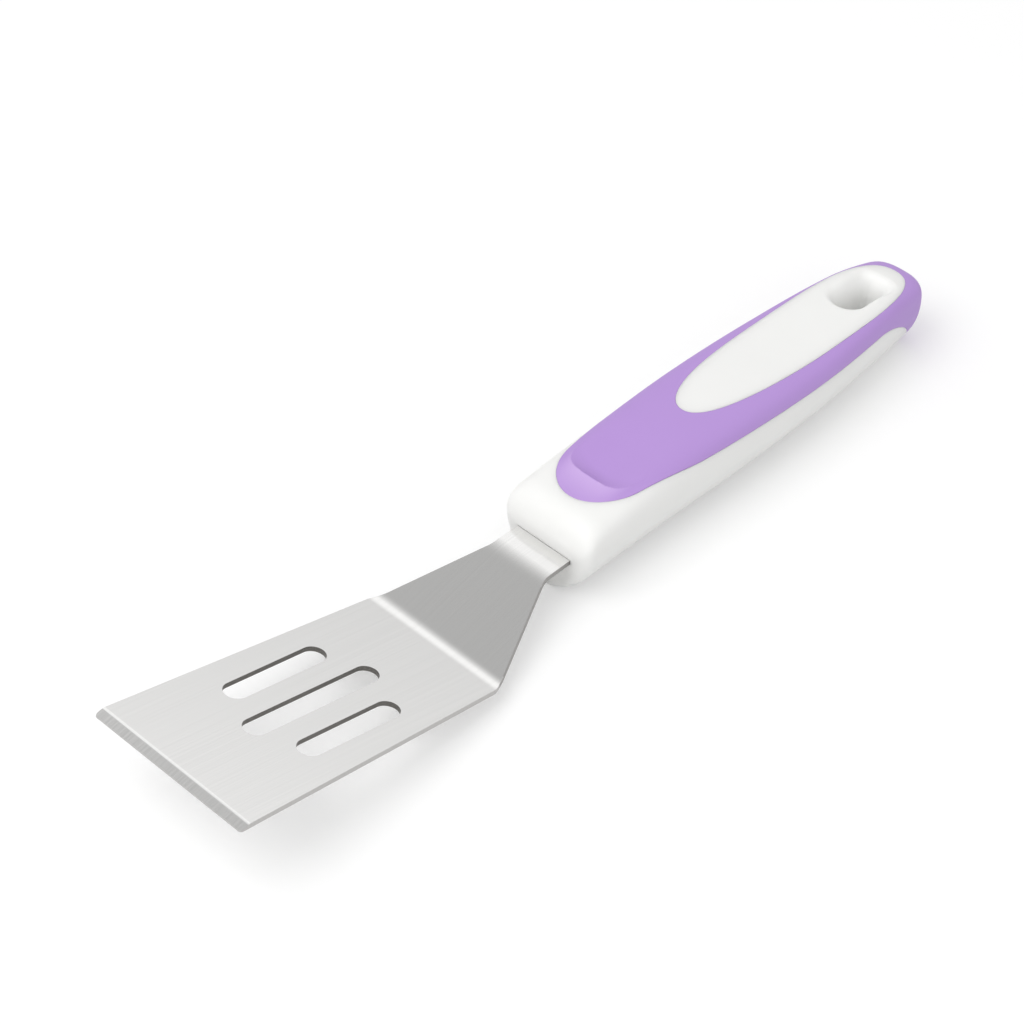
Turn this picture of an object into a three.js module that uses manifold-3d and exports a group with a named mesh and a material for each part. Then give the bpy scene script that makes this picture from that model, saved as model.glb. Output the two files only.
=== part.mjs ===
// A small slotted turner: one stamped steel blade, held by a moulded core in a two-colour handle.
// Millimetres, +Z up. +X runs from the handle to the blade tip, and the part lies on its underside at Z = 0.
// The pieces are drawn with X = 0 at the front face of the handle; the group is then centred on its own length.
import * as THREE from "three";
import { mergeVertices } from "three/addons/utils/BufferGeometryUtils.js";
import Module from "manifold-3d";

// Gap left between two pieces that are moulded or pushed together.
const FIT_GAP = 0.3;

// Steel sheet, seen from the side: tang, riser and blade, with a bend between each two.
const SHEET_THICKNESS = 1.25;
const TANG_HEIGHT = 11.2; // middle of the sheet above the table
const TANG_INSERT = 46; // length hidden in the handle
const NECK_LENGTH = 6.7; // from the handle to the first bend
const RISER_ANGLE = THREE.MathUtils.degToRad(14.6);
const HEEL_CLEARANCE = 4.2; // from the table to the underside of the heel bend
const BLADE_LENGTH = 76.5;
const BLADE_ANGLE = THREE.MathUtils.degToRad(13.8);
const NECK_BEND_RADIUS = 14;
const HEEL_BEND_RADIUS = 9;

// Steel sheet, seen from above.
const TANG_WIDTH = 15.8;
const HEEL_WIDTH = 38.5;
const TIP_WIDTH = 43.9;
const TANG_END_CORNER = 2;
const NECK_FILLET = 6;
const HEEL_CORNER = 5;
const HEEL_CORNER_LEAD = 1.6; // from the heel bend to the corner where the sheet stops flaring
const TIP_CORNER = 0.8;
const BEVEL_WIDTH = 2.2;
const BEVEL_EDGE = 0.2; // steel left at the ground front edge

// Slots, measured along the blade from the heel.
const SLOT_WIDTH = 5.7;
const SLOT_SPACING = 11.15;
const SLOT_CENTRE = 37.1;
const MIDDLE_SLOT_LENGTH = 36.9;
const OUTER_SLOT_LENGTH = 27.5;

// Locking holes in the tang, behind the front face of the handle.
const LOCK_HOLE_DIAMETER = 6;
const LOCK_HOLE_SETBACK = 17;
const LOCK_HOLE_PITCH = 18;

// Handle widths and heights above the table, at shares of its length counted from the nose.
const HANDLE_LENGTH = 123.4;
const STATION_SHARES = [0, 0.2, 0.42, 0.64, 0.86, 1];
const NOSE_WIDTH = 25.5;
const THUMB_WIDTH = 25.4;
const PALM_WIDTH = 26.8;
const FINGER_WIDTH = 25.8;
const TAIL_WIDTH = 20.4;
const BUTT_WIDTH = 15;
const NOSE_HEIGHT = 20.2;
const THUMB_HEIGHT = 22.5;
const PALM_HEIGHT = 22.8;
const FINGER_HEIGHT = 21.8;
const TAIL_HEIGHT = 21.3;
const BUTT_HEIGHT = 18;

// Handle section: its widest level, how square its two halves are, and how its ends round off.
const WIDEST_LEVEL = 13.4;
const UPPER_SQUARENESS = 4.3;
const BUTT_SQUARENESS = 2; // of the upper half at the butt's end
const BUTT_EASING = 20; // length over which the upper half turns to that
const LOWER_SQUARENESS = 1.8;
const NOSE_SIDE_ROUND = 2.8;
const NOSE_TOP_ROUND = 6.4;
const NOSE_UNDER_ROUND = 0.8;
const BUTT_PLAN_ROUND = 6;
const BUTT_SIDE_ROUND = 4.2;
const FOOT_CUT = 0.3; // depth of the flat that the handle lies on

// Soft grip: a skin let into the handle, from a rounded front tip round the sides and the butt.
const GRIP_THICKNESS = 1.8;
const GRIP_TIP_SETBACK = 7.6;
const GRIP_TIP_WIDTH = 21.1;
const GRIP_TIP_LENGTH = 13.6;
const GRIP_TIP_FLARE = 0.13; // sideways run for each millimetre back, where the tip opens into the bands
const BAND_FRONT_DROP = 0.4; // lower edge of the bands below the top of the handle, at the front tip
const BAND_REAR_DROP = 5.7; // and at their rear
const BAND_REAR_SETBACK = 24.7; // from the butt to the rear of the straight bands
const BAND_SAG = 2; // bow of the bands' lower edge
const BAND_FRONT_PULL = 0.3; // shares of the bands' length at which their lower edge turns
const BAND_REAR_PULL = 0.48;

// White sides and underside: they end in a rounded tongue before the butt.
const TONGUE_SETBACK = 5; // from the butt to the tongue's end below
const TONGUE_TURN_SETBACK = 10.4; // from the butt to where the bands' lower edge turns down to that end

// Window in the grip, where the white top shows.
const WINDOW_SETBACK = 43.8;
const WINDOW_END_SETBACK = 4.8; // from the butt
const WINDOW_WIDTH = 18.3;
const WINDOW_WIDEST_SETBACK = 83.8;
const WINDOW_FRONT_FULLNESS = 0.81; // how square each end of the window is
const WINDOW_REAR_FULLNESS = 1;
const WINDOW_SIDE_PULL = 0.5; // share of each half's length that runs along the widest line

// Thumb dish in the front of the grip.
const DISH_SETBACK = 15.2;
const DISH_LENGTH = 27;
const DISH_WIDTH = 17.5;
const DISH_DEPTH = 1;
const DISH_OVERREACH = 1.4; // how far the dish's ball runs on above its rim

// Hang hole through the tail.
const HOLE_WIDTH = 6.4;
const HOLE_LENGTH = 12.6;
const HOLE_END_SETBACK = 12.2; // from the butt
const HOLE_FRONT_CORNER = 3;
const HOLE_REAR_CORNER = 1.6;

// Moulded core inside the handle, with pegs through the locking holes.
const CORE_SETBACK = 5;
const CORE_COVER = 3.3; // plastic over the core
const CORE_TO_HOLE = 8;
const PEG_ROOT = 1; // length of a peg inside the core

// How finely round shapes are drawn.
const BEND_STEPS = 8;
const OUTLINE_STEPS = 12;
const CORNER_STEPS = 4;
const ROUND_STEPS = 8;
const PIN_SIDES = 24;
const DISH_SIDES = 40;
const SKIN = { ring: 44, stations: 16 };
const LINING = { ring: 28, stations: 10 };
const SAME_POINT = 1e-3;
const FAR = 200; // reach of a cutting shape that runs past the part

const wasm = await Module();
wasm.setup();

// A closed three.js geometry as a solid that can be joined and cut.
function solidFrom(geometry) {
  const bare = geometry.clone();
  bare.deleteAttribute("normal");
  bare.deleteAttribute("uv");
  const merged = mergeVertices(bare);
  return new wasm.Manifold(
    new wasm.Mesh({
      numProp: 3,
      vertProperties: merged.attributes.position.array,
      triVerts: new Uint32Array(merged.index.array),
    }),
  );
}

// A solid as a named mesh.
function meshFrom(name, solid, material) {
  const { vertProperties, triVerts } = solid.getMesh();
  const geometry = new THREE.BufferGeometry();
  geometry.setAttribute("position", new THREE.BufferAttribute(vertProperties, 3));
  geometry.setIndex(new THREE.BufferAttribute(triVerts, 1));
  geometry.computeVertexNormals();
  const mesh = new THREE.Mesh(geometry, material);
  mesh.name = name;
  return mesh;
}

// The outline of a path as a shape of straight steps, with no point drawn twice.
function steppedShape(path, steps) {
  const points = path.getPoints(steps);
  const kept = points.filter((p, i) => p.distanceTo(points.at(i - 1)) > SAME_POINT);
  return new THREE.Shape(kept);
}

// A shape drawn in X and Y as a solid between two levels.
function upright(shape, low, high) {
  const options = { depth: high - low, bevelEnabled: false };
  return solidFrom(new THREE.ExtrudeGeometry(shape, options).translate(0, 0, low));
}

// A shape drawn in X and Z as a geometry across the part.
function crosswise(shape, width) {
  const options = { depth: width, bevelEnabled: false };
  return new THREE.ExtrudeGeometry(shape, options).rotateX(Math.PI / 2).translate(0, width / 2, 0);
}

// A box, as wide as given, between two places along X and two levels.
function slab(back, front, width, low, high) {
  const box = new THREE.BoxGeometry(front - back, width, high - low);
  return solidFrom(box.translate((front + back) / 2, 0, (high + low) / 2));
}

// An upright round bar through a level.
function uprightBar(x, diameter, level, length) {
  const bar = new THREE.CylinderGeometry(diameter / 2, diameter / 2, length, PIN_SIDES);
  return solidFrom(bar.rotateX(Math.PI / 2).translate(x, 0, level));
}

// A slot with round ends, along X.
function slotShape(x, y, length, width) {
  const radius = width / 2;
  const reach = length / 2 - radius;
  const path = new THREE.Path();
  path.absarc(x + reach, y, radius, -Math.PI / 2, Math.PI / 2, false);
  path.absarc(x - reach, y, radius, Math.PI / 2, (3 * Math.PI) / 2, false);
  return steppedShape(path, CORNER_STEPS * 2);
}

// Runs a path straight up to a corner and round it.
function addCorner(path, before, corner, after, radius) {
  const back = before.clone().sub(corner).normalize();
  const ahead = after.clone().sub(corner).normalize();
  const half = back.angleTo(ahead) / 2;
  const start = corner.clone().addScaledVector(back, radius / Math.tan(half));
  const end = corner.clone().addScaledVector(ahead, radius / Math.tan(half));
  const inward = back.clone().add(ahead).normalize();
  const centre = corner.clone().addScaledVector(inward, radius / Math.sin(half));
  const from = start.clone().sub(centre).angle();
  const to = end.clone().sub(centre).angle();
  path.lineTo(start.x, start.y);
  path.absarc(centre.x, centre.y, radius, from, to, back.cross(ahead) > 0);
}

// A plan that is the same on both sides, from the corners of one side: X, distance from the middle and radius.
function mirroredPlan(side) {
  const right = side.map(([x, y, radius]) => ({ point: new THREE.Vector2(x, -y), radius }));
  const left = side.map(([x, y, radius]) => ({ point: new THREE.Vector2(x, y), radius })).reverse();
  const corners = [...right, ...left];
  const path = new THREE.Path();
  path.moveTo(side[0][0], 0);
  corners.forEach(({ point, radius }, i) => {
    addCorner(path, corners.at(i - 1).point, point, corners[(i + 1) % corners.length].point, radius);
  });
  return steppedShape(path, CORNER_STEPS);
}

// Corners of the sheet's middle line, seen from the side. The heel bend stays clear of the table.
const heelTurn = Math.cos((BLADE_ANGLE - RISER_ANGLE) / 2) / Math.cos((BLADE_ANGLE + RISER_ANGLE) / 2);
const heelHeight = HEEL_CLEARANCE + SHEET_THICKNESS / 2 + HEEL_BEND_RADIUS * (1 - heelTurn);
const riserRun = (TANG_HEIGHT - heelHeight) / Math.tan(RISER_ANGLE);
const tangEnd = new THREE.Vector2(-TANG_INSERT, TANG_HEIGHT);
const neck = new THREE.Vector2(NECK_LENGTH, TANG_HEIGHT);
const heel = new THREE.Vector2(NECK_LENGTH + riserRun, heelHeight);
const bladeAlong = new THREE.Vector2(Math.cos(BLADE_ANGLE), Math.sin(BLADE_ANGLE));
const tip = heel.clone().addScaledVector(bladeAlong, BLADE_LENGTH);
const bladeFrame = new THREE.Matrix4().makeRotationY(-BLADE_ANGLE).setPosition(heel.x, 0, heel.y);

// The bent sheet from the side: its middle line, offset to both faces.
function sheetSide() {
  const middle = new THREE.Path();
  middle.moveTo(tangEnd.x, tangEnd.y);
  addCorner(middle, tangEnd, neck, heel, NECK_BEND_RADIUS);
  addCorner(middle, neck, heel, tip, HEEL_BEND_RADIUS);
  middle.lineTo(tip.x, tip.y);
  const points = [];
  for (const curve of middle.curves.filter((c) => c.getLength() > SAME_POINT)) {
    const steps = curve.isLineCurve ? 1 : BEND_STEPS;
    for (let i = 0; i <= steps; i++) {
      const along = curve.getTangent(i / steps);
      const across = new THREE.Vector2(-along.y, along.x).multiplyScalar(SHEET_THICKNESS / 2);
      points.push({ upper: curve.getPoint(i / steps).add(across), lower: curve.getPoint(i / steps).sub(across) });
    }
  }
  const outline = [...points.map((p) => p.lower), ...points.map((p) => p.upper).reverse()];
  return new THREE.Shape(outline.filter((p, i) => p.distanceTo(outline.at(i - 1)) > SAME_POINT));
}

// The sheet from above: tang, flared riser and blade, with their rounded corners.
function sheetPlan() {
  return mirroredPlan([
    [-TANG_INSERT, TANG_WIDTH / 2, TANG_END_CORNER],
    [neck.x, TANG_WIDTH / 2, NECK_FILLET],
    [heel.x + HEEL_CORNER_LEAD, HEEL_WIDTH / 2, HEEL_CORNER],
    [tip.x, TIP_WIDTH / 2, TIP_CORNER],
  ]);
}

// The ground front edge: what the bevel takes off the top of the blade, in the blade's own frame.
function bevelCut() {
  const top = SHEET_THICKNESS / 2;
  const fall = (SHEET_THICKNESS - BEVEL_EDGE) / BEVEL_WIDTH;
  const shape = new THREE.Shape([
    new THREE.Vector2(BLADE_LENGTH - BEVEL_WIDTH, top),
    new THREE.Vector2(BLADE_LENGTH + BEVEL_WIDTH, top - 2 * fall * BEVEL_WIDTH),
    new THREE.Vector2(BLADE_LENGTH + BEVEL_WIDTH, top + BEVEL_WIDTH),
    new THREE.Vector2(BLADE_LENGTH - BEVEL_WIDTH, top + BEVEL_WIDTH),
  ]);
  return solidFrom(crosswise(shape, 2 * TIP_WIDTH).applyMatrix4(bladeFrame));
}

// One slot through the blade, square to the sheet.
function slotCut(offset, length) {
  const options = { depth: 4 * SHEET_THICKNESS, bevelEnabled: false };
  const cut = new THREE.ExtrudeGeometry(slotShape(SLOT_CENTRE, offset, length, SLOT_WIDTH), options);
  return solidFrom(cut.translate(0, 0, -2 * SHEET_THICKNESS).applyMatrix4(bladeFrame));
}

const lockHoles = [-LOCK_HOLE_SETBACK, -LOCK_HOLE_SETBACK - LOCK_HOLE_PITCH];

function makeBlade() {
  let blade = solidFrom(crosswise(sheetSide(), 2 * TIP_WIDTH)).intersect(upright(sheetPlan(), -FAR, FAR));
  const slots = [
    slotCut(0, MIDDLE_SLOT_LENGTH),
    slotCut(SLOT_SPACING, OUTER_SLOT_LENGTH),
    slotCut(-SLOT_SPACING, OUTER_SLOT_LENGTH),
  ];
  const holes = lockHoles.map((x) => uprightBar(x, LOCK_HOLE_DIAMETER, TANG_HEIGHT, 4 * SHEET_THICKNESS));
  for (const cut of [...slots, ...holes, bevelCut()]) {
    blade = blade.subtract(cut);
  }
  return blade;
}

// A smooth curve through values given at rising places.
function smoothThrough(places, values, at) {
  const last = places.length - 1;
  const slope = (i) => {
    const a = Math.max(i - 1, 0);
    const b = Math.min(i + 1, last);
    return (values[b] - values[a]) / (places[b] - places[a]);
  };
  let i = 0;
  while (i < last - 1 && at > places[i + 1]) i++;
  const span = places[i + 1] - places[i];
  const t = (at - places[i]) / span;
  const bend = slope(i) * (1 - t) - slope(i + 1) * t;
  const straight = values[i] + (values[i + 1] - values[i]) * t * t * (3 - 2 * t);
  return straight + t * (1 - t) * bend * span;
}

const stationWidths = [NOSE_WIDTH, THUMB_WIDTH, PALM_WIDTH, FINGER_WIDTH, TAIL_WIDTH, BUTT_WIDTH];
const stationHeights = [NOSE_HEIGHT, THUMB_HEIGHT, PALM_HEIGHT, FINGER_HEIGHT, TAIL_HEIGHT, BUTT_HEIGHT];

// Height of the handle's top line at a distance behind its nose.
function handleTop(setback) {
  return smoothThrough(STATION_SHARES, stationHeights, setback / HANDLE_LENGTH);
}

// How far a rounded edge has drawn in at a distance from the end that it rounds.
function edgeDraw(radius, distance) {
  const left = Math.max(radius - distance, 0);
  return radius - Math.sqrt(Math.max(radius * radius - left * left, 0));
}

// How full the butt still is at a distance from its end, from 0 to 1.
function buttFullness(radius, distance) {
  const left = Math.max(1 - distance / radius, 0);
  return Math.sqrt(Math.max(1 - left * left, 0));
}

// Half width and the two half heights of the handle at a distance behind its nose, drawn in by an inset.
function handleSection(setback, inset) {
  const share = setback / HANDLE_LENGTH;
  const fromNose = setback - inset;
  const fromButt = HANDLE_LENGTH - inset - setback;
  const draw = (radius) => edgeDraw(Math.max(radius - inset, 0), fromNose) + inset;
  const plan = buttFullness(BUTT_PLAN_ROUND - inset, fromButt);
  const side = buttFullness(BUTT_SIDE_ROUND - inset, fromButt);
  return {
    half: (smoothThrough(STATION_SHARES, stationWidths, share) / 2 - draw(NOSE_SIDE_ROUND)) * plan,
    up: (handleTop(setback) - WIDEST_LEVEL - draw(NOSE_TOP_ROUND)) * side,
    down: (WIDEST_LEVEL + FOOT_CUT - draw(NOSE_UNDER_ROUND)) * side,
  };
}

// How square the handle's upper half is at a distance behind its nose.
function upperSquareness(setback) {
  const eased = buttFullness(BUTT_EASING, HANDLE_LENGTH - setback);
  return BUTT_SQUARENESS + (UPPER_SQUARENESS - BUTT_SQUARENESS) * eased;
}

// One point of a section, at an angle from the widest level.
function sectionPoint(setback, { half, up, down }, angle) {
  const across = Math.cos(angle);
  const rise = Math.sin(angle);
  const squareness = rise >= 0 ? upperSquareness(setback) : LOWER_SQUARENESS;
  const size = (Math.abs(across) ** squareness + Math.abs(rise) ** squareness) ** (1 / squareness);
  const height = rise >= 0 ? up : down;
  return [-setback, (half * across) / size, WIDEST_LEVEL + (height * rise) / size];
}

// The distances behind the nose at which the handle's sections are drawn, closer together at both ends.
function sectionPlaces(inset, stations) {
  const noseEnd = inset + Math.max(NOSE_TOP_ROUND, NOSE_SIDE_ROUND);
  const buttStart = HANDLE_LENGTH - BUTT_PLAN_ROUND;
  const buttLength = BUTT_PLAN_ROUND - inset;
  const places = [];
  for (let i = 0; i < ROUND_STEPS; i++) {
    places.push(inset + (noseEnd - inset) * (1 - Math.cos((i / ROUND_STEPS) * (Math.PI / 2))));
  }
  for (let i = 0; i < stations; i++) {
    places.push(noseEnd + ((buttStart - noseEnd) * i) / stations);
  }
  for (let i = 0; i < ROUND_STEPS; i++) {
    places.push(buttStart + buttLength * Math.sin((i / ROUND_STEPS) * (Math.PI / 2)));
  }
  return places;
}

// The handle's whole outer form, drawn in by an inset, as a closed solid.
function handleForm(inset, { ring, stations }) {
  const places = sectionPlaces(inset, stations);
  const sections = places.map((setback) => handleSection(setback, inset));
  const points = sections.flatMap((section, i) =>
    Array.from({ length: ring }, (_, j) => sectionPoint(places[i], section, (j / ring) * 2 * Math.PI)),
  );
  const noseMiddle = points.push([-inset, 0, WIDEST_LEVEL]) - 1;
  const buttEnd = points.push([inset - HANDLE_LENGTH, 0, WIDEST_LEVEL]) - 1;
  const faces = [];
  for (let j = 0; j < ring; j++) {
    const next = (j + 1) % ring;
    for (let i = 0; i + 1 < places.length; i++) {
      const here = i * ring;
      const behind = here + ring;
      faces.push(here + j, behind + j, here + next, here + next, behind + j, behind + next);
    }
    const rear = (places.length - 1) * ring;
    faces.push(noseMiddle, j, next, buttEnd, rear + next, rear + j);
  }
  const geometry = new THREE.BufferGeometry();
  geometry.setAttribute("position", new THREE.Float32BufferAttribute(points.flat(), 3));
  geometry.setIndex(faces);
  return solidFrom(geometry);
}

// The handle's outer form, cut flat where it lies on the table.
function handleSkin() {
  return handleForm(0, SKIN).subtract(slab(-2 * HANDLE_LENGTH, HANDLE_LENGTH, FAR, -FAR, 0));
}

// Side view of the grip: all that lies above the lower edge of its bands and behind the white tongue.
function bandShape(grow) {
  const rear = HANDLE_LENGTH - BAND_REAR_SETBACK;
  const turn = HANDLE_LENGTH - TONGUE_TURN_SETBACK - grow;
  const end = HANDLE_LENGTH - TONGUE_SETBACK - grow;
  const frontLevel = handleTop(GRIP_TIP_SETBACK) - BAND_FRONT_DROP - grow;
  const rearLevel = handleTop(rear) - BAND_REAR_DROP - grow;
  const span = rear - GRIP_TIP_SETBACK;
  const path = new THREE.Path();
  path.moveTo(GRIP_TIP_SETBACK, frontLevel);
  path.lineTo(-GRIP_TIP_SETBACK, frontLevel);
  path.bezierCurveTo(
    -GRIP_TIP_SETBACK - span * BAND_FRONT_PULL,
    frontLevel,
    -rear + span * BAND_REAR_PULL,
    rearLevel + BAND_SAG,
    -rear,
    rearLevel,
  );
  path.quadraticCurveTo(-turn, rearLevel, -end, -FOOT_CUT);
  path.lineTo(-2 * HANDLE_LENGTH, -FOOT_CUT);
  path.lineTo(-2 * HANDLE_LENGTH, FAR);
  path.lineTo(GRIP_TIP_SETBACK, FAR);
  return steppedShape(path, OUTLINE_STEPS);
}

// Plan view of the grip's front: a rounded tip that opens along its tangents into the bands.
function tipShape(grow) {
  const length = GRIP_TIP_LENGTH + grow;
  const half = GRIP_TIP_WIDTH / 2 + grow;
  const turn = Math.atan2(half, length * GRIP_TIP_FLARE);
  const centre = -GRIP_TIP_SETBACK - GRIP_TIP_LENGTH;
  const leave = new THREE.Vector2(centre + length * Math.cos(turn), half * Math.sin(turn));
  const rear = new THREE.Vector2(leave.x - FAR, leave.y + FAR * GRIP_TIP_FLARE);
  const path = new THREE.Path();
  path.absellipse(centre, 0, length, half, -turn, turn, false);
  path.lineTo(rear.x, rear.y);
  path.lineTo(rear.x, -rear.y);
  return steppedShape(path, OUTLINE_STEPS);
}

// Plan view of the window: pointed and slender at the front, fuller at the rear.
function windowShape(grow) {
  const front = -WINDOW_SETBACK - grow;
  const rear = WINDOW_END_SETBACK + grow - HANDLE_LENGTH;
  const widest = -WINDOW_WIDEST_SETBACK;
  const half = WINDOW_WIDTH / 2 - grow;
  const frontHalf = half * WINDOW_FRONT_FULLNESS;
  const rearHalf = half * WINDOW_REAR_FULLNESS;
  const frontPull = widest + (front - widest) * WINDOW_SIDE_PULL;
  const rearPull = widest + (rear - widest) * WINDOW_SIDE_PULL;
  const path = new THREE.Path();
  path.moveTo(front, 0);
  path.bezierCurveTo(front, frontHalf, frontPull, half, widest, half);
  path.bezierCurveTo(rearPull, half, rear, rearHalf, rear, 0);
  path.bezierCurveTo(rear, -rearHalf, rearPull, -half, widest, -half);
  path.bezierCurveTo(frontPull, -half, front, -frontHalf, front, 0);
  return steppedShape(path, OUTLINE_STEPS);
}

// All the space that the soft grip takes from the handle's skin, grown by a gap.
function gripSpace(grow) {
  const bands = solidFrom(crosswise(bandShape(grow), FAR)).intersect(upright(tipShape(grow), -FAR, FAR));
  return bands.subtract(upright(windowShape(grow), WIDEST_LEVEL, 2 * FAR));
}

// The thumb dish: a shallow cap of a ball, stretched to its plan size and laid along the handle's top.
function dishCut() {
  const half = DISH_LENGTH / 2;
  const ball = (half * half + DISH_DEPTH * DISH_DEPTH) / (2 * DISH_DEPTH);
  const spread = DISH_OVERREACH * Math.asin(half / ball);
  const profile = [];
  for (let i = 0; i <= OUTLINE_STEPS; i++) {
    const turn = (spread * i) / OUTLINE_STEPS;
    profile.push(new THREE.Vector2(ball * Math.sin(turn), ball * (1 - Math.cos(turn)) - DISH_DEPTH));
  }
  profile.push(new THREE.Vector2(0, profile.at(-1).y));
  const start = handleTop(DISH_SETBACK);
  const end = handleTop(DISH_SETBACK + DISH_LENGTH);
  const cap = new THREE.LatheGeometry(profile, DISH_SIDES).rotateX(Math.PI / 2);
  cap.scale(1, DISH_WIDTH / DISH_LENGTH, 1).rotateY(Math.atan2(end - start, DISH_LENGTH));
  return solidFrom(cap.translate(-DISH_SETBACK - half, 0, (start + end) / 2));
}

const holeRear = HOLE_END_SETBACK - HANDLE_LENGTH;
const holeFront = holeRear + HOLE_LENGTH;
const coreRear = holeFront + CORE_TO_HOLE;

// Plan view of the hang hole: rounder at the front than at the rear.
function holeShape() {
  return mirroredPlan([
    [holeRear, HOLE_WIDTH / 2, HOLE_REAR_CORNER],
    [holeFront, HOLE_WIDTH / 2, HOLE_FRONT_CORNER],
  ]);
}

// Room for the tang, with the gap all round it.
function tangRoom() {
  const reach = SHEET_THICKNESS / 2 + FIT_GAP;
  const width = TANG_WIDTH + 2 * FIT_GAP;
  return slab(-TANG_INSERT - FIT_GAP, NECK_LENGTH, width, TANG_HEIGHT - reach, TANG_HEIGHT + reach);
}

// The core's outer form, grown by a gap.
function coreForm(grow) {
  const length = slab(coreRear - grow, grow - CORE_SETBACK, FAR, -FAR, FAR);
  return handleForm(CORE_COVER - grow, LINING).intersect(length);
}

function makeCore() {
  const pegLength = SHEET_THICKNESS + 2 * (FIT_GAP + PEG_ROOT);
  let core = coreForm(0).subtract(tangRoom());
  for (const x of lockHoles) {
    core = core.add(uprightBar(x, LOCK_HOLE_DIAMETER - 2 * FIT_GAP, TANG_HEIGHT, pegLength));
  }
  return core;
}

function makeBody() {
  const lining = handleForm(GRIP_THICKNESS + FIT_GAP, LINING);
  const white = handleSkin().subtract(gripSpace(FIT_GAP)).add(lining);
  const hole = upright(holeShape(), -FAR, FAR);
  return white.subtract(coreForm(FIT_GAP)).subtract(tangRoom()).subtract(hole);
}

function makeGrip() {
  const skin = handleSkin().intersect(gripSpace(0)).subtract(handleForm(GRIP_THICKNESS, LINING));
  return skin.subtract(dishCut());
}

const steel = new THREE.MeshStandardMaterial({ color: 0xc8c8c6, roughness: 0.32, metalness: 1 });
const whitePlastic = new THREE.MeshStandardMaterial({ color: 0xf2f2ee, roughness: 0.42, metalness: 0 });
const lilacRubber = new THREE.MeshStandardMaterial({ color: 0xb290d8, roughness: 0.55, metalness: 0 });
const corePlastic = new THREE.MeshStandardMaterial({ color: 0xdcdad2, roughness: 0.6, metalness: 0 });

const spatula = new THREE.Group();
spatula.add(meshFrom("blade", makeBlade(), steel));
spatula.add(meshFrom("tang_core", makeCore(), corePlastic));
spatula.add(meshFrom("handle_body", makeBody(), whitePlastic));
spatula.add(meshFrom("grip", makeGrip(), lilacRubber));
spatula.position.x = -new THREE.Box3().setFromObject(spatula).getCenter(new THREE.Vector3()).x;

export default spatula;
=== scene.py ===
"""A small slotted turner: a brushed steel blade in a white moulded handle with a soft lilac grip.

Sizes are in millimetres, as on a workshop drawing, and the meshes are made in metres. A setback is a distance
behind the handle's front face, and a name that ends in from_butt is a distance ahead of its other end.
+X runs to the blade tip, +Z is up, and the turner lies on the table at Z = 0.
"""
import logging
import math
from dataclasses import dataclass
from enum import Enum
from typing import ClassVar

import bmesh
import bpy
import numpy as np
from mathutils import Matrix, Vector


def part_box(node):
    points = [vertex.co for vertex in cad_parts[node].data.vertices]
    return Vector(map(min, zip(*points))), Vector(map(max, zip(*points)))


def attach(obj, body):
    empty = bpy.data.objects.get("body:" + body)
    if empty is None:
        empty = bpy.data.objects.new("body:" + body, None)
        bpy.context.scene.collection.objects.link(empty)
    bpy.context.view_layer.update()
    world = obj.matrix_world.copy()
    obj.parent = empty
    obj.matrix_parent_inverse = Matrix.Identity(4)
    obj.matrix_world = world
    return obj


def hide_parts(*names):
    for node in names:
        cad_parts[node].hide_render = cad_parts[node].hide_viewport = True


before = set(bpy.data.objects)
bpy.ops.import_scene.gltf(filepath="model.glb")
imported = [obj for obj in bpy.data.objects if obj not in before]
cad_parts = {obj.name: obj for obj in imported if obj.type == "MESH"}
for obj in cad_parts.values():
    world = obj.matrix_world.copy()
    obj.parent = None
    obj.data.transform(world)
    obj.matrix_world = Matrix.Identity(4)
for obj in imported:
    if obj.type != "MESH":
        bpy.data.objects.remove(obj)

LOG = logging.getLogger("turner")
MM = 0.001
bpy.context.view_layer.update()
NOSE_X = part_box("handle_body")[1].x / MM
SAME_POINT = 0.001
CREASE = math.radians(35)
TOP = math.pi / 2
BOTTOM = -math.pi / 2
UNIT = (0.0, 1.0)
WHITE_LIGHT = (1, 1, 1, 1)
BODY = "root"
# Name of the point mark for painted light: a lighter colour that lifts the shade inside the hang hole and
# paints a highlight before the grip's crest.
PAINTED_LIGHT = "painted_light"

Colour = tuple[float, float, float]
Tree = bpy.types.NodeTree
Socket = bpy.types.NodeSocket
Sockets = bpy.types.bpy_prop_collection


class Finish(Enum):
    """The record's material slots."""

    STEEL = "blade_steel"
    CORE = "core_plastic"
    WHITE = "white_plastic"
    LILAC = "lilac_rubber"


class Light(Enum):
    """What a lamp is for."""

    KEY = "key_softbox"
    FILL = "side_fill"


def eased(start: float, end: float, count: int) -> np.ndarray:
    """Places from start to end that crowd together at both ends.

    Args:
        start: First place.
        end: Last place.
        count: Number of steps between them.

    Returns:
        The count + 1 places.
    """
    turn = np.linspace(0, math.pi, count + 1)
    return start + (end - start) * (1 - np.cos(turn)) / 2


def blend(first: np.ndarray, last: np.ndarray, columns: int) -> np.ndarray:
    """Values between two lines, with a row for each station and equal steps from column to column."""
    shares = np.linspace(0, 1, columns + 1)
    return first[:, None] * (1 - shares) + last[:, None] * shares


def squared_round(share: np.ndarray, squareness: np.ndarray | float) -> np.ndarray:
    """How high a squared-off quarter round of height 1 is at a share of its width."""
    return (1 - share**squareness) ** (1 / squareness)


def pulled_curve(values: tuple[float, ...], steps: int) -> np.ndarray:
    """Points of a curve from the first of four values to the last, drawn toward the two between them."""
    t = np.linspace(0, 1, steps)
    return np.array(values) @ np.array([(1 - t) ** 3, 3 * t * (1 - t) ** 2, 3 * t * t * (1 - t), t**3])


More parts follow.
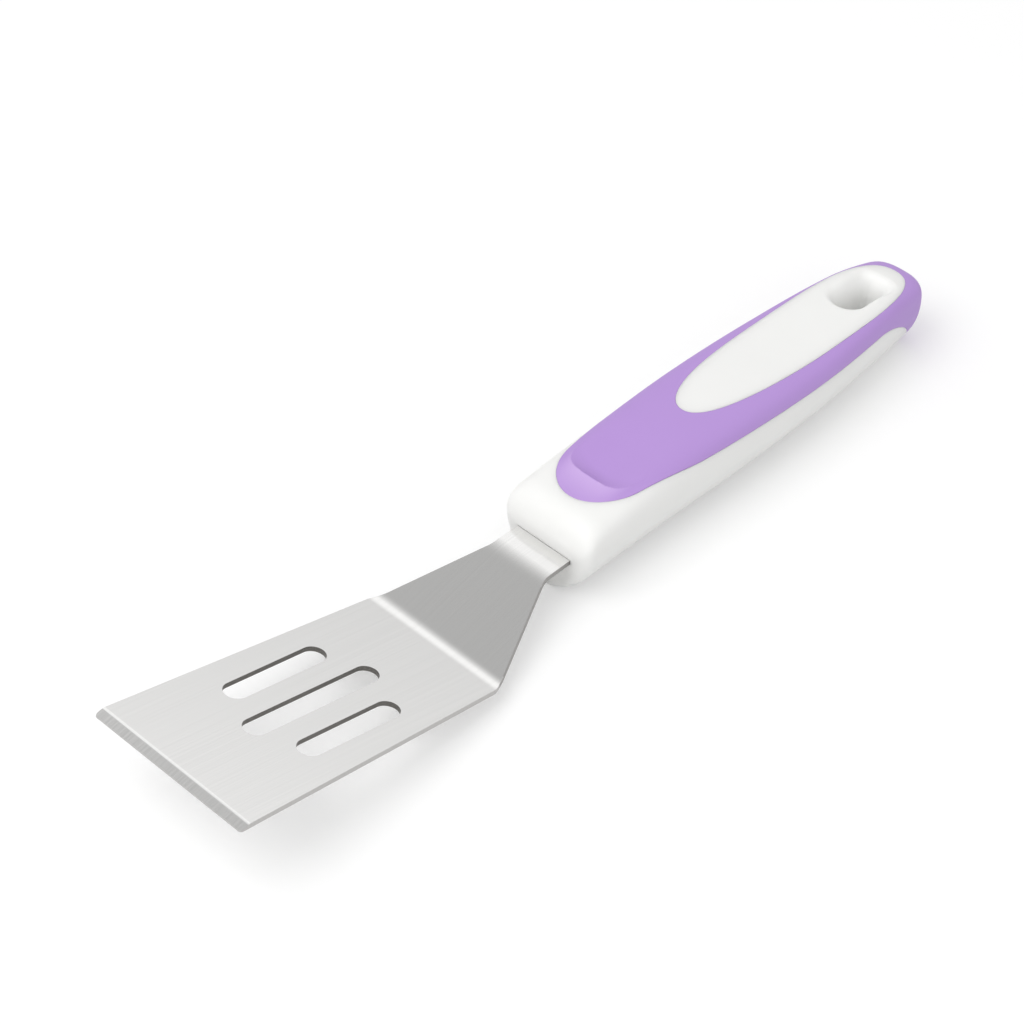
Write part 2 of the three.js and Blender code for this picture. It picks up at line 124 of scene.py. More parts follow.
def rounded_line(corners: list[tuple[float, float, float]], steps: int) -> np.ndarray:
    """A line through corners, each rounded by its own radius.

    Args:
        corners: Two coordinates and a radius for each corner; the two ends have no radius.
        steps: Straight steps in each round.

    Returns:
        The line's points, with the direction of the line at each in a third column.
    """
    line = []
    for before, here, after in zip(corners, corners[1:], corners[2:]):
        corner = np.array(here[:2])
        back = np.array(before[:2]) - corner
        ahead = np.array(after[:2]) - corner
        back /= np.linalg.norm(back)
        ahead /= np.linalg.norm(ahead)
        start = math.atan2(-back[1], -back[0])
        turn = math.remainder(math.atan2(ahead[1], ahead[0]) - start, 2 * math.pi)
        reach = here[2] * math.tan(abs(turn) / 2)
        side = math.copysign(1, turn)
        centre = corner + reach * back + here[2] * side * np.array([-math.sin(start), math.cos(start)])
        for step in range(steps + 1):
            heading = start + turn * step / steps
            outward = here[2] * side * np.array([math.sin(heading), -math.cos(heading)])
            line.append((*(centre + outward), heading))
    first = (*corners[0][:2], line[0][2])
    last = (*corners[-1][:2], line[-1][2])
    return np.array([first, *line, last])


def put_in_scene(name: str, data: bpy.types.ID) -> bpy.types.Object:
    """Makes an object and links it to the scene.

    Args:
        name: The object's name.
        data: Its mesh, lamp or camera.

    Returns:
        The object.
    """
    thing = bpy.data.objects.new(name, data)
    bpy.context.scene.collection.objects.link(thing)
    return thing


class MeshDraft:
    """Points and faces of one piece, gathered before they become a mesh."""

    def __init__(self) -> None:
        """Starts with no points and no faces."""
        self.points = np.zeros((0, 3))
        self.faces: list[tuple[int, ...]] = []

    def add(self, points: np.ndarray) -> np.ndarray:
        """Takes points in.

        Args:
            points: Places in millimetres, in any layout whose last axis is X, Y and Z.

        Returns:
            The points' numbers, in the same layout.
        """
        first = len(self.points)
        flat = points.reshape(-1, 3)
        self.points = np.vstack([self.points, flat])
        return np.arange(first, first + len(flat)).reshape(points.shape[:-1])

    def span(self, rows: np.ndarray, left_out: np.ndarray | None = None) -> None:
        """Lays quads between neighbouring rows of points.

        Args:
            rows: Point numbers, in rows and columns.
            left_out: Marks the quads that stay open, one for each place between rows and columns.
        """
        corners = np.stack([rows[:-1, :-1], rows[1:, :-1], rows[1:, 1:], rows[:-1, 1:]], axis=-1)
        if left_out is not None:
            corners = corners[~left_out]
        self.faces += [tuple(face) for face in corners.reshape(-1, 4).tolist()]

    def span_round(self, rows: np.ndarray) -> None:
        """Lays quads between neighbouring rows of points, each of which closes on itself."""
        self.span(np.hstack([rows, rows[:, :1]]))

    def mirror(self) -> None:
        """Adds the other half of the piece, across its middle plane."""
        count = len(self.points)
        self.points = np.vstack([self.points, self.points * (1, -1, 1)])
        self.faces += [tuple(count + number for number in reversed(face)) for face in self.faces]

    def to_object(self, name: str) -> bpy.types.Object:
        """Closes the piece up and makes it an object.

        Args:
            name: The piece's name.

        Returns:
            The object, with its place in its mesh.
        """
        mesh = bpy.data.meshes.new(name)
        mesh.from_pydata(((self.points + (NOSE_X, 0, 0)) * MM).tolist(), [], self.faces)
        work = bmesh.new()
        work.from_mesh(mesh)
        bmesh.ops.remove_doubles(work, verts=work.verts, dist=SAME_POINT * MM)
        bmesh.ops.dissolve_degenerate(work, edges=work.edges, dist=SAME_POINT * MM)
        bmesh.ops.recalc_face_normals(work, faces=work.faces)
        for face in work.faces:
            face.smooth = True
        for edge in work.edges:
            edge.smooth = edge.calc_face_angle(0) < CREASE
        work.to_mesh(mesh)
        work.free()
        return put_in_scene(name, mesh)


def feed(tree: Tree, node: bpy.types.Node, inputs: dict) -> None:
    """Feeds a node's inputs.

    Args:
        tree: The node tree.
        node: The node.
        inputs: What feeds its inputs, by name or number: another node's output socket, or a plain value.
    """
    for name, value in inputs.items():
        if isinstance(value, Socket):
            tree.links.new(value, node.inputs[name])
        else:
            node.inputs[name].default_value = value


def wire(tree: Tree, kind: str, inputs: dict | None = None, **settings: object) -> bpy.types.Node:
    """Adds a node to a tree.

    Args:
        tree: The node tree.
        kind: Blender's name of the node type.
        inputs: What feeds its inputs.
        settings: The node's own settings.

    Returns:
        The node.
    """
    node = tree.nodes.new(kind)
    for name, value in settings.items():
        setattr(node, name, value)
    feed(tree, node, inputs or {})
    return node


def reckon(tree: Tree, operation: str, *terms: Socket | float) -> Socket:
    """Adds a node that works a number out of others."""
    return wire(tree, "ShaderNodeMath", dict(enumerate(terms)), operation=operation).outputs[0]


def remap(tree: Tree, value: Socket, source: tuple[float, float], target: tuple[float, float]) -> Socket:
    """Adds a node that carries a value from one range over to another."""
    ends = {"From Min": source[0], "From Max": source[1], "To Min": target[0], "To Max": target[1]}
    return wire(tree, "ShaderNodeMapRange", {"Value": value, **ends}).outputs[0]


def mix_values(tree: Tree, share: Socket, first: Socket | float, second: Socket | float) -> Socket:
    """Adds a node that goes from one number to another as a share grows from 0 to 1."""
    return wire(tree, "ShaderNodeMix", {0: share, 2: first, 3: second}, data_type="FLOAT").outputs[0]


def mix_colours(tree: Tree, share: Socket, first: Socket | Colour, second: Socket | Colour) -> Socket:
    """Adds a node that goes from one colour to another as a share grows from 0 to 1."""
    ends = [end if isinstance(end, Socket) else (*end, 1) for end in (first, second)]
    return wire(tree, "ShaderNodeMix", {0: share, 6: ends[0], 7: ends[1]}, data_type="RGBA").outputs[2]


def joined(tree: Tree, *shapes: Socket) -> Socket:
    """Adds a node that joins shapes.

    Args:
        tree: The node tree.
        shapes: The shapes' geometry.

    Returns:
        The joined geometry.
    """
    join = wire(tree, "GeometryNodeJoinGeometry")
    for shape in shapes:
        tree.links.new(shape, join.inputs[0])
    return join.outputs[0]


def new_material(name: str) -> tuple[bpy.types.Material, Tree, bpy.types.Node]:
    """Starts a material.

    Args:
        name: The material's name.

    Returns:
        The material, its tree and its shader.
    """
    material = bpy.data.materials.new(name)
    material.use_nodes = True
    return material, material.node_tree, material.node_tree.nodes["Principled BSDF"]


class Piece:
    """A piece of the turner, which stands for one solid and has one finish."""

    node: ClassVar[str]
    finish: ClassVar[Finish]

    def dress(self, piece: bpy.types.Object, material: bpy.types.Material) -> None:
        """Gives the fine piece its finish and puts it in place of its solid.

        Args:
            piece: The fine piece.
            material: The finish as a material.
        """
        piece.data.materials.clear()
        piece.data.materials.append(material)
        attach(piece, BODY)
        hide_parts(self.node)
        LOG.info("%s: %d faces, stands for %s", piece.name, len(piece.data.polygons), self.node)


@dataclass
class SteelBlade(Piece):
    """One stamped sheet: tang, riser and slotted blade, with two bends and a ground front edge."""

    node: ClassVar[str] = "blade"
    finish: ClassVar[Finish] = Finish.STEEL
    thickness: float = 1.25
    tang_level: float = 11.2
    tang_insert: float = 46.0
    neck_length: float = 7.9
    riser_angle: float = math.radians(15.3)
    heel_clearance: float = 4.2
    blade_length: float = 76.5
    blade_angle: float = math.radians(13.8)
    neck_bend: float = 20.0
    heel_bend: float = 9.0
    tang_width: float = 15.8
    heel_width: float = 38.5
    tip_width: float = 43.9
    tang_corner: float = 2.0
    neck_fillet: float = 6.0
    heel_corner: float = 5.0
    heel_corner_lead: float = 1.6
    tip_corner: float = 0.8
    bevel_width: float = 2.2
    bevel_edge: float = 0.2
    bevel_ease: float = 0.45
    bevel_steps: int = 6
    slot_count: int = 3
    slot_width: float = 5.7
    slot_spacing: float = 11.15
    slot_centre: float = 37.1
    middle_slot: float = 36.9
    outer_slot: float = 27.5
    lock_holes: int = 2
    lock_hole: float = 6.0
    lock_setback: float = 17.0
    lock_pitch: float = 18.0
    edge_round: float = 0.12
    edge_segments: int = 2
    edge_angle: float = math.radians(12)
    flat_weight: int = 100
    round_steps: int = 14
    punch_height: float = 5.0
    punch_sides: int = 24
    # Just under a half of the width, so that the two rounds at an end don't meet.
    punch_end_share: float = 0.4999

    def heel(self) -> tuple[float, float]:
        """Place of the heel on the sheet's middle line, seen from the side.

        Returns:
            The distance before the nose and the height, where the riser's and the blade's lines would cross.
        """
        half_sum = (self.blade_angle + self.riser_angle) / 2
        half_difference = (self.blade_angle - self.riser_angle) / 2
        turn = math.cos(half_difference) / math.cos(half_sum)
        level = self.heel_clearance + self.thickness / 2 + self.heel_bend * (1 - turn)
        return self.neck_length + (self.tang_level - level) / math.tan(self.riser_angle), level

    def on_blade(self, distance: float) -> tuple[float, float]:
        """Place on the blade's middle line at a distance from the heel, seen from the side."""
        x, level = self.heel()
        return x + distance * math.cos(self.blade_angle), level + distance * math.sin(self.blade_angle)

    def sheet(self) -> bpy.types.Object:
        """Makes the bent sheet, before it is punched.

        Returns:
            The sheet.
        """
        end = -self.tang_insert
        neck = (self.neck_length, self.tang_level)
        heel = self.heel()
        tip = self.on_blade(self.blade_length)
        side = rounded_line(
            [(end, self.tang_level, 0), (*neck, self.neck_bend), (*heel, self.heel_bend), (*tip, 0)],
            self.round_steps,
        )
        plan = rounded_line(
            [
                (end, 0, 0),
                (end, self.tang_width / 2, self.tang_corner),
                (neck[0], self.tang_width / 2, self.neck_fillet),
                (heel[0] + self.heel_corner_lead, self.heel_width / 2, self.heel_corner),
                (tip[0], self.tip_width / 2, self.tip_corner),
                (tip[0], 0, 0),
            ],
            self.round_steps,
        )[1:-1]
        bevel_start, _ = self.on_blade(self.blade_length - self.bevel_width)
        eased_start = bevel_start + np.linspace(-self.bevel_ease, self.bevel_ease, self.bevel_steps + 1)
        bends = [x for x in [*side[1:-1, 0], *eased_start] if np.abs(plan[:, 0] - x).min() > self.edge_round]
        along = np.sort([*plan[:, 0], *bends])
        half = np.interp(along, plan[:, 0], plan[:, 1])
        level = np.interp(along, side[:, 0], side[:, 1])
        heading = np.interp(along, side[:, 0], side[:, 2])
        past = self.bevel_width - (tip[0] - along) / math.cos(self.blade_angle)
        on_round = (past + self.bevel_ease) ** 2 / (4 * self.bevel_ease)
        depth = np.where(np.abs(past) < self.bevel_ease, on_round, np.maximum(past, 0))
        ground = depth * (self.thickness - self.bevel_edge) / self.bevel_width
        upper = self.thickness / 2 - ground
        lower = np.full_like(along, -self.thickness / 2)
        rows = []
        for rise, sign in ((upper, 1), (lower, -1)):
            x = along - np.sin(heading) * rise
            z = level + np.cos(heading) * rise
            rows += [np.stack([x, sign * half, z], axis=-1), np.stack([x, -sign * half, z], axis=-1)]
        draft = MeshDraft()
        ring = draft.add(np.stack(rows, axis=1))
        draft.span_round(ring)
        draft.faces += [tuple(ring[0].tolist()), tuple(ring[-1, ::-1].tolist())]
        return draft.to_object("steel_blade")

    def slot_punch(self, tree: Tree, length: Socket, width: Socket) -> Socket:
        """Adds nodes for a round-ended punch.

        Args:
            tree: The punching tree.
            length: The punch's length, along X.
            width: Its width, along Y.

        Returns:
            The punch's geometry.
        """
        height = self.punch_height * MM
        outline = wire(tree, "GeometryNodeCurvePrimitiveQuadrilateral", {"Width": length, "Height": width})
        rounded = wire(tree, "GeometryNodeFilletCurve", {
            "Curve": outline.outputs[0],
            "Count": self.punch_sides,
            "Radius": reckon(tree, "MULTIPLY", width, self.punch_end_share),
        }, mode="POLY")
        face = wire(tree, "GeometryNodeFillCurve", {"Curve": rounded.outputs[0]}, mode="NGONS").outputs[0]
        up = wire(tree, "GeometryNodeExtrudeMesh", {
            "Mesh": face, "Offset Scale": height, "Individual": False,
        })
        under = wire(tree, "GeometryNodeFlipFaces", {"Mesh": face})
        both = joined(tree, up.outputs["Mesh"], under.outputs[0])
        closed = wire(tree, "GeometryNodeMergeByDistance", {"Geometry": both, "Distance": SAME_POINT * MM})
        centred = wire(tree, "GeometryNodeTransform", {
            "Geometry": closed.outputs[0], "Translation": (0, 0, -height / 2),
        })
        return centred.outputs[0]

    def slot_row(self, tree: Tree, entry: Sockets) -> Socket:
        """Adds nodes for the row of slot punches, of which the middle one is longer.

        Args:
            tree: The punching tree.
            entry: The tree's named inputs.

        Returns:
            The punches' geometry.
        """
        middle = self.slot_count // 2
        step = wire(tree, "ShaderNodeCombineXYZ", {"Y": entry["Slot Spacing"]}).outputs[0]
        start = wire(tree, "ShaderNodeVectorMath", {0: step, 1: (-middle,) * 3}, operation="MULTIPLY")
        row = wire(tree, "GeometryNodeMeshLine", {
            "Count": self.slot_count, "Start Location": start.outputs[0], "Offset": step,
        })
        number = wire(tree, "GeometryNodeInputIndex").outputs[0]
        is_middle = wire(tree, "FunctionNodeCompare", {
            2: number, 3: middle,
        }, data_type="INT", operation="EQUAL")
        is_outer = wire(tree, "FunctionNodeBooleanMath", {0: is_middle.outputs[0]}, operation="NOT")
        punches = []
        for length, chosen in (("Middle Slot", is_middle), ("Outer Slot", is_outer)):
            copies = wire(tree, "GeometryNodeInstanceOnPoints", {
                "Points": row.outputs[0],
                "Selection": chosen.outputs[0],
                "Instance": self.slot_punch(tree, entry[length], entry["Slot Width"]),
            })
            punches.append(copies.outputs[0])
        placed = wire(tree, "GeometryNodeTransform", {
            "Geometry": joined(tree, *punches),
            "Translation": entry["Slot Place"],
            "Rotation": (0, -self.blade_angle, 0),
        })
        return placed.outputs[0]

    def hole_row(self, tree: Tree, entry: Sockets) -> Socket:
        """Adds nodes for the punches of the locking holes, one behind the other in the tang.

        Args:
            tree: The punching tree.
            entry: The tree's named inputs.

        Returns:
            The punches' geometry.
        """
        back = wire(tree, "ShaderNodeCombineXYZ", {"X": reckon(tree, "MULTIPLY", entry["Hole Pitch"], -1.0)})
        row = wire(tree, "GeometryNodeMeshLine", {
            "Count": self.lock_holes, "Start Location": entry["Hole Place"], "Offset": back.outputs[0],
        })
        hole = wire(tree, "GeometryNodeMeshCylinder", {
            "Vertices": 2 * self.punch_sides,
            "Radius": reckon(tree, "MULTIPLY", entry["Hole Diameter"], 0.5),
            "Depth": self.punch_height * MM,
        })
        copies = wire(tree, "GeometryNodeInstanceOnPoints", {
            "Points": row.outputs[0], "Instance": hole.outputs[0],
        })
        return copies.outputs[0]

    def punch_tree(self, material: bpy.types.Material) -> tuple[Tree, dict[str, object]]:
        """Builds the tree that punches the slots and the locking holes.

        Args:
            material: The steel.

        Returns:
            The tree, and the value for each of its named inputs.
        """
        slot_x, slot_level = self.on_blade(self.slot_centre)
        values = {
            "Slot Width": self.slot_width * MM,
            "Slot Spacing": self.slot_spacing * MM,
            "Middle Slot": self.middle_slot * MM,
            "Outer Slot": self.outer_slot * MM,
            "Hole Diameter": self.lock_hole * MM,
            "Hole Pitch": self.lock_pitch * MM,
            "Slot Place": ((NOSE_X + slot_x) * MM, 0, slot_level * MM),
            "Hole Place": ((NOSE_X - self.lock_setback) * MM, 0, self.tang_level * MM),
        }
        tree = bpy.data.node_groups.new("punched_sheet", "GeometryNodeTree")
        for way in ("INPUT", "OUTPUT"):
            tree.interface.new_socket("Sheet", in_out=way, socket_type="NodeSocketGeometry")
        for name, value in values.items():
            kind = "NodeSocketVector" if isinstance(value, tuple) else "NodeSocketFloat"
            tree.interface.new_socket(name, in_out="INPUT", socket_type=kind)
        entry = wire(tree, "NodeGroupInput").outputs
        punches = joined(tree, self.slot_row(tree, entry), self.hole_row(tree, entry))
        real = wire(tree, "GeometryNodeRealizeInstances", {0: punches})
        cut = wire(tree, "GeometryNodeMeshBoolean", {
            "Mesh 1": entry["Sheet"], "Mesh 2": real.outputs[0],
        }, operation="DIFFERENCE")
        whole = wire(tree, "GeometryNodeRealizeInstances", {0: cut.outputs[0]})
        steel = wire(tree, "GeometryNodeSetMaterial", {"Geometry": whole.outputs[0], "Material": material})
        wire(tree, "NodeGroupOutput", {0: steel.outputs[0]})
        return tree, values

    def build(self, material: bpy.types.Material) -> bpy.types.Object:
        """Makes the blade: bends the sheet, punches it and rounds its edges.

        Args:
            material: The steel.

        Returns:
            The blade.
        """
        blade = self.sheet()
        tree, values = self.punch_tree(material)
        punch = blade.modifiers.new("punch", "NODES")
        punch.node_group = tree
        for socket in tree.interface.items_tree:
            if socket.in_out == "INPUT" and socket.name in values:
                punch[socket.identifier] = values[socket.name]
        ease = blade.modifiers.new("eased_edges", "BEVEL")
        ease.width = self.edge_round * MM
        ease.segments = self.edge_segments
        ease.limit_method = "ANGLE"
        ease.angle_limit = self.edge_angle
        ease.harden_normals = False
        flat = blade.modifiers.new("flat_faces", "WEIGHTED_NORMAL")
        flat.weight = self.flat_weight
        graph = bpy.context.evaluated_depsgraph_get()
        mesh = bpy.data.meshes.new_from_object(blade.evaluated_get(graph), depsgraph=graph)
        blade.modifiers.clear()
        blade.data = mesh
        return blade


@dataclass(frozen=True)
class HandleForm:
    """The handle's outer skin: rounded sections from the nose to the butt."""

    length: float = 123.4
    shares: tuple[float, ...] = (0.0, 0.2, 0.42, 0.64, 0.86, 1.0)
    widths: tuple[float, ...] = (25.5, 25.4, 26.8, 25.8, 20.4, 15.0)
    heights: tuple[float, ...] = (20.2, 22.5, 22.8, 21.8, 21.3, 18.0)
    widest_level: float = 13.4
    upper_squareness: float = 4.3
    butt_squareness: float = 2.0
    butt_easing: float = 20.0
    lower_squareness: float = 1.8
    nose_side_round: float = 2.8
    nose_top_round: float = 6.4
    nose_under_round: float = 0.8
    butt_plan_round: float = 6.0
    butt_side_round: float = 4.2
    foot_cut: float = 0.3

    def through(self, values: tuple[float, ...], setback: np.ndarray) -> np.ndarray:
        """A smooth curve through a size given at the stations.

        Args:
            values: The size at each station.
            setback: Places behind the nose.

        Returns:
            The size at those places.
        """
        places = np.array(self.shares)
        sizes = np.array(values)
        last = len(places) - 1
        ahead = np.minimum(np.arange(last + 1) + 1, last)
        behind = np.maximum(np.arange(last + 1) - 1, 0)
        slopes = (sizes[ahead] - sizes[behind]) / (places[ahead] - places[behind])
        share = np.asarray(setback, float) / self.length
        knot = np.clip(np.searchsorted(places, share) - 1, 0, last - 1)
        span = places[knot + 1] - places[knot]
        t = (share - places[knot]) / span
        bend = slopes[knot] * (1 - t) - slopes[knot + 1] * t
        growth = sizes[knot + 1] - sizes[knot]
        return sizes[knot] + growth * t * t * (3 - 2 * t) + t * (1 - t) * bend * span

    def top(self, setback: np.ndarray) -> np.ndarray:
        """Height of the top line at places behind the nose."""
        return self.through(self.heights, setback)

    def upper(self, setback: np.ndarray) -> np.ndarray:
        """How square the section's upper half is, which eases off toward the butt's end."""
        gone = np.clip(1 - (self.length - setback) / self.butt_easing, 0, 1)
        return self.butt_squareness + (self.upper_squareness - self.butt_squareness) * np.sqrt(1 - gone**2)

    def section(self, setback: np.ndarray, inset: np.ndarray | float = 0.0) -> tuple[np.ndarray, ...]:
        """Half width and the two half heights of the handle.

        Args:
            setback: Places behind the nose.
            inset: How far the section is drawn in from the skin.

        Returns:
            Half width, height above the widest level, and depth below it.
        """

        def drawn(radius: float) -> np.ndarray:
            """How far an edge of the nose draws the section in.

            Args:
                radius: How round the edge is.

            Returns:
                The distances in from the skin.
            """
            left = np.maximum(radius - inset, 0)
            gone = np.clip(left - (setback - inset), 0, left)
            return left - np.sqrt(np.maximum(left**2 - gone**2, 0)) + inset

        def fullness(radius: float) -> np.ndarray:
            """How full the rounded butt still is."""
            gone = np.clip(1 - (self.length - inset - setback) / (radius - inset), 0, 1)
            return np.sqrt(1 - gone**2)

        plan = fullness(self.butt_plan_round)
        side = fullness(self.butt_side_round)
        half = (self.through(self.widths, setback) / 2 - drawn(self.nose_side_round)) * plan
        rise = (self.top(setback) - self.widest_level - drawn(self.nose_top_round)) * side
        fall = (self.widest_level + self.foot_cut - drawn(self.nose_under_round)) * side
        return half, rise, fall

    def point(self, setback: np.ndarray, angle: np.ndarray, inset: np.ndarray | float = 0.0) -> np.ndarray:
        """Points of the skin.

        Args:
            setback: Places behind the nose.
            angle: Angles round the section, from the widest level on the right side.
            inset: How far the points lie under the skin.

        Returns:
            X, Y and Z of the points.
        """
        setback, angle, inset = np.broadcast_arrays(setback, angle, inset)
        half, rise, fall = self.section(setback, inset)
        across = np.cos(angle)
        up = np.sin(angle)
        squareness = np.where(up >= 0, self.upper(setback), self.lower_squareness)
        size = (np.abs(across) ** squareness + np.abs(up) ** squareness) ** (1 / squareness)
        level = self.widest_level + np.where(up >= 0, rise, fall) * up / size
        return np.stack([-setback, half * across / size, np.maximum(level, 0)], axis=-1)

    def width_share(self, setback: np.ndarray, across: np.ndarray) -> np.ndarray:
        """How far out places on the plan are, as shares of the half width."""
        return np.clip(np.abs(across) / np.maximum(self.section(setback)[0], SAME_POINT), 0, 1)

    def angle_at_width(self, setback: np.ndarray, width: np.ndarray) -> np.ndarray:
        """Angle at which the section's upper half is a given distance from the middle plane."""
        share = self.width_share(setback, width)
        return np.arctan2(squared_round(share, self.upper(setback)), share)

    def angle_at_level(self, setback: np.ndarray, level: np.ndarray) -> np.ndarray:
        """Angle at which the section is at a given height.

        Args:
            setback: Places behind the nose.
            level: Heights above the table.

        Returns:
            The angles, which are below zero under the widest level.
        """
        _, rise, fall = self.section(setback)
        offset = level - self.widest_level
        square = np.where(offset >= 0, self.upper(setback), self.lower_squareness)
        reach = np.maximum(np.where(offset >= 0, rise, fall), SAME_POINT)
        share = np.clip(np.abs(offset) / reach, 0, 1)
        return np.copysign(np.arctan2(share, squared_round(share, square)), offset)

    def top_at(self, setback: np.ndarray, across: np.ndarray) -> np.ndarray:
        """Height of the skin's upper side.

        Args:
            setback: Places behind the nose.
            across: Distances from the middle plane.

        Returns:
            The heights over those places.
        """
        _, rise, _ = self.section(setback)
        share = self.width_share(setback, across)
        return self.widest_level + rise * squared_round(share, self.upper(setback))

    def underside_at(self, setback: np.ndarray, across: np.ndarray) -> np.ndarray:
        """Height of the skin's underside.

        Args:
            setback: Places behind the nose.
            across: Distances from the middle plane.

        Returns:
            The heights at those places, none below the table.
        """
        _, _, fall = self.section(setback)
        depth = fall * squared_round(self.width_share(setback, across), self.lower_squareness)
        return np.maximum(self.widest_level - depth, 0)


@dataclass(frozen=True)
class StationCounts:
    """How many sections are drawn on each stretch of the handle."""

    nose: int = 22
    tip: int = 160
    window: int = 96
    tongue: int = 30
    butt: int = 16


@dataclass(frozen=True)
class GripLines:
    """Where the soft grip meets the white moulding: its lower edge, and the window in its top."""

    form: HandleForm
    counts: StationCounts
    parting: float = 0.02
    tip_setback: float = 7.6
    tip_width: float = 21.1
    tip_length: float = 13.6
    tip_flare: float = 0.13
    band_front_drop: float = 0.4
    band_rear_drop: float = 5.7
    band_rear_from_butt: float = 24.7
    band_sag: float = 2.0
    band_front_pull: float = 0.3
    band_rear_pull: float = 0.48
    tongue_from_butt: float = 4.8
    tongue_turn_from_butt: float = 10.4
    window_setback: float = 43.8
    window_end_from_butt: float = 4.8
    window_width: float = 18.3
    window_widest_setback: float = 83.8
    window_front_fullness: float = 0.81
    window_rear_fullness: float = 1.0
    window_side_pull: float = 0.5
    corner_softness: float = 0.03
    curve_steps: int = 400

    def knots(self, grow: float) -> list[float]:
        """Where the stretches of the grip's edges end.

        Args:
            grow: How far the grip is grown.

        Returns:
            Setbacks of the grip's tip, the window's front, the tongue's turn and the rear of both openings.
        """
        turn = self.form.length - self.tongue_turn_from_butt - grow
        rear = self.form.length - self.window_end_from_butt - grow
        return [self.tip_setback - grow, self.window_setback + grow, turn, rear]

    def stations(self, grow: float, inset: float) -> np.ndarray:
        """Setbacks of sections from the grip's tip to the butt's end.

        Args:
            grow: How far the edge that they belong to is grown.
            inset: Depth of the row under the skin.

        Returns:
            The setbacks.
        """
        counts = self.counts
        places = [*self.knots(grow), self.form.length - inset]
        steps = (counts.tip, counts.window, counts.tongue, counts.butt)
        *stretches, butt = [eased(*stretch) for stretch in zip(places, places[1:], steps)]
        return np.concatenate([*[stretch[:-1] for stretch in stretches], butt])

    def tip_half(self, setback: np.ndarray, grow: float) -> np.ndarray:
        """Half width of the grip's front tip on the plan.

        Args:
            setback: Places behind the nose.
            grow: How far the grip is grown.

        Returns:
            The half widths.
        """
        length = self.tip_length + grow
        half = self.tip_width / 2 + grow
        centre = self.tip_setback + self.tip_length
        turn = math.atan2(half, length * self.tip_flare)
        leave = centre - length * math.cos(turn)
        ahead = np.clip((centre - setback) / length, -1, 1)
        straight = half * math.sin(turn) + (setback - leave) * self.tip_flare
        return np.where(setback < leave, half * np.sqrt(1 - ahead**2), straight)

    def band_level(self, setback: np.ndarray, grow: float) -> np.ndarray:
        """Height of the side bands' lower edge, which turns down behind the white tongue.

        Args:
            setback: Places behind the nose.
            grow: How far the grip is grown.

        Returns:
            The heights above the table.
        """
        rear = self.form.length - self.band_rear_from_butt
        turn = self.form.length - self.tongue_turn_from_butt - grow
        end = self.form.length - self.tongue_from_butt - grow
        span = rear - self.tip_setback
        front_level = self.form.top(self.tip_setback) - self.band_front_drop - grow
        rear_level = self.form.top(rear) - self.band_rear_drop - grow
        pulls = (0, span * self.band_front_pull, span * (1 - self.band_rear_pull), span)
        along = self.tip_setback + pulled_curve(pulls, self.curve_steps)
        rises = (front_level, front_level, rear_level + self.band_sag, rear_level)
        levels = pulled_curve(rises, self.curve_steps)
        t = np.linspace(0, 1, self.curve_steps)
        turn_along = rear * (1 - t) ** 2 + 2 * turn * t * (1 - t) + end * t * t
        turn_levels = rear_level - (rear_level + self.form.foot_cut) * t * t
        return np.interp(setback, [*along, *turn_along[1:]], [*levels, *turn_levels[1:]])

    def lower_angle(self, setback: np.ndarray, grow: float) -> np.ndarray:
        """Angle of the grip's lower edge round the handle's section.

        Args:
            setback: Places behind the nose.
            grow: How far the grip is grown.

        Returns:
            The angles: a right angle ahead of the tip, falling to the bottom at the tongue's end.
        """
        form = self.form
        tip_half = self.tip_half(setback, grow)
        on_plan = form.angle_at_width(setback, tip_half)
        at_level = form.angle_at_level(setback, self.band_level(setback, grow))
        soft = self.corner_softness
        at_tip = np.maximum(on_plan, at_level)
        at_tip = at_tip + soft * np.log1p(np.exp(-np.abs(on_plan - at_level) / soft))
        return np.where(tip_half < form.section(setback)[0], np.minimum(at_tip, TOP), at_level)

    def window_angle(self, setback: np.ndarray, grow: float) -> np.ndarray:
        """Angle of the window's edge round the handle's section.

        Args:
            setback: Places behind the nose.
            grow: How far the grip is grown.

        Returns:
            The angles, a right angle before and behind the window.
        """
        _, front, _, rear = self.knots(grow)
        widest = self.window_widest_setback
        half = self.window_width / 2 - grow
        front_pull = widest + (front - widest) * self.window_side_pull
        rear_pull = widest + (rear - widest) * self.window_side_pull
        steps = self.curve_steps
        front_along = pulled_curve((front, front, front_pull, widest), steps)
        front_half = pulled_curve((0, half * self.window_front_fullness, half, half), steps)
        rear_along = pulled_curve((widest, rear_pull, rear, rear), steps)
        rear_half = pulled_curve((half, half, half * self.window_rear_fullness, 0), steps)
        along = [*front_along, *rear_along[1:]]
        edge = np.interp(setback, along, [*front_half, *rear_half[1:]], left=0, right=0)
        return self.form.angle_at_width(setback, edge)


def setback_and_side(piece: bpy.types.Object) -> np.ndarray:
    """Where a piece's points lie on the plan.

    Args:
        piece: The piece.

    Returns:
        How far each point is behind the nose, and how far from the middle plane.
    """
    places = np.zeros(3 * len(piece.data.vertices))
    piece.data.vertices.foreach_get("co", places)
    return (places.reshape(-1, 3)[:, :2] / MM - (NOSE_X, 0)) * (-1, 1)


def mark_painted_light(piece: bpy.types.Object, shares: np.ndarray) -> None:
    """Marks how much painted light each point of a piece gets, from 0 to 1."""
    mark = piece.data.attributes.new(PAINTED_LIGHT, "FLOAT", "POINT")
    mark.data.foreach_set("value", shares)


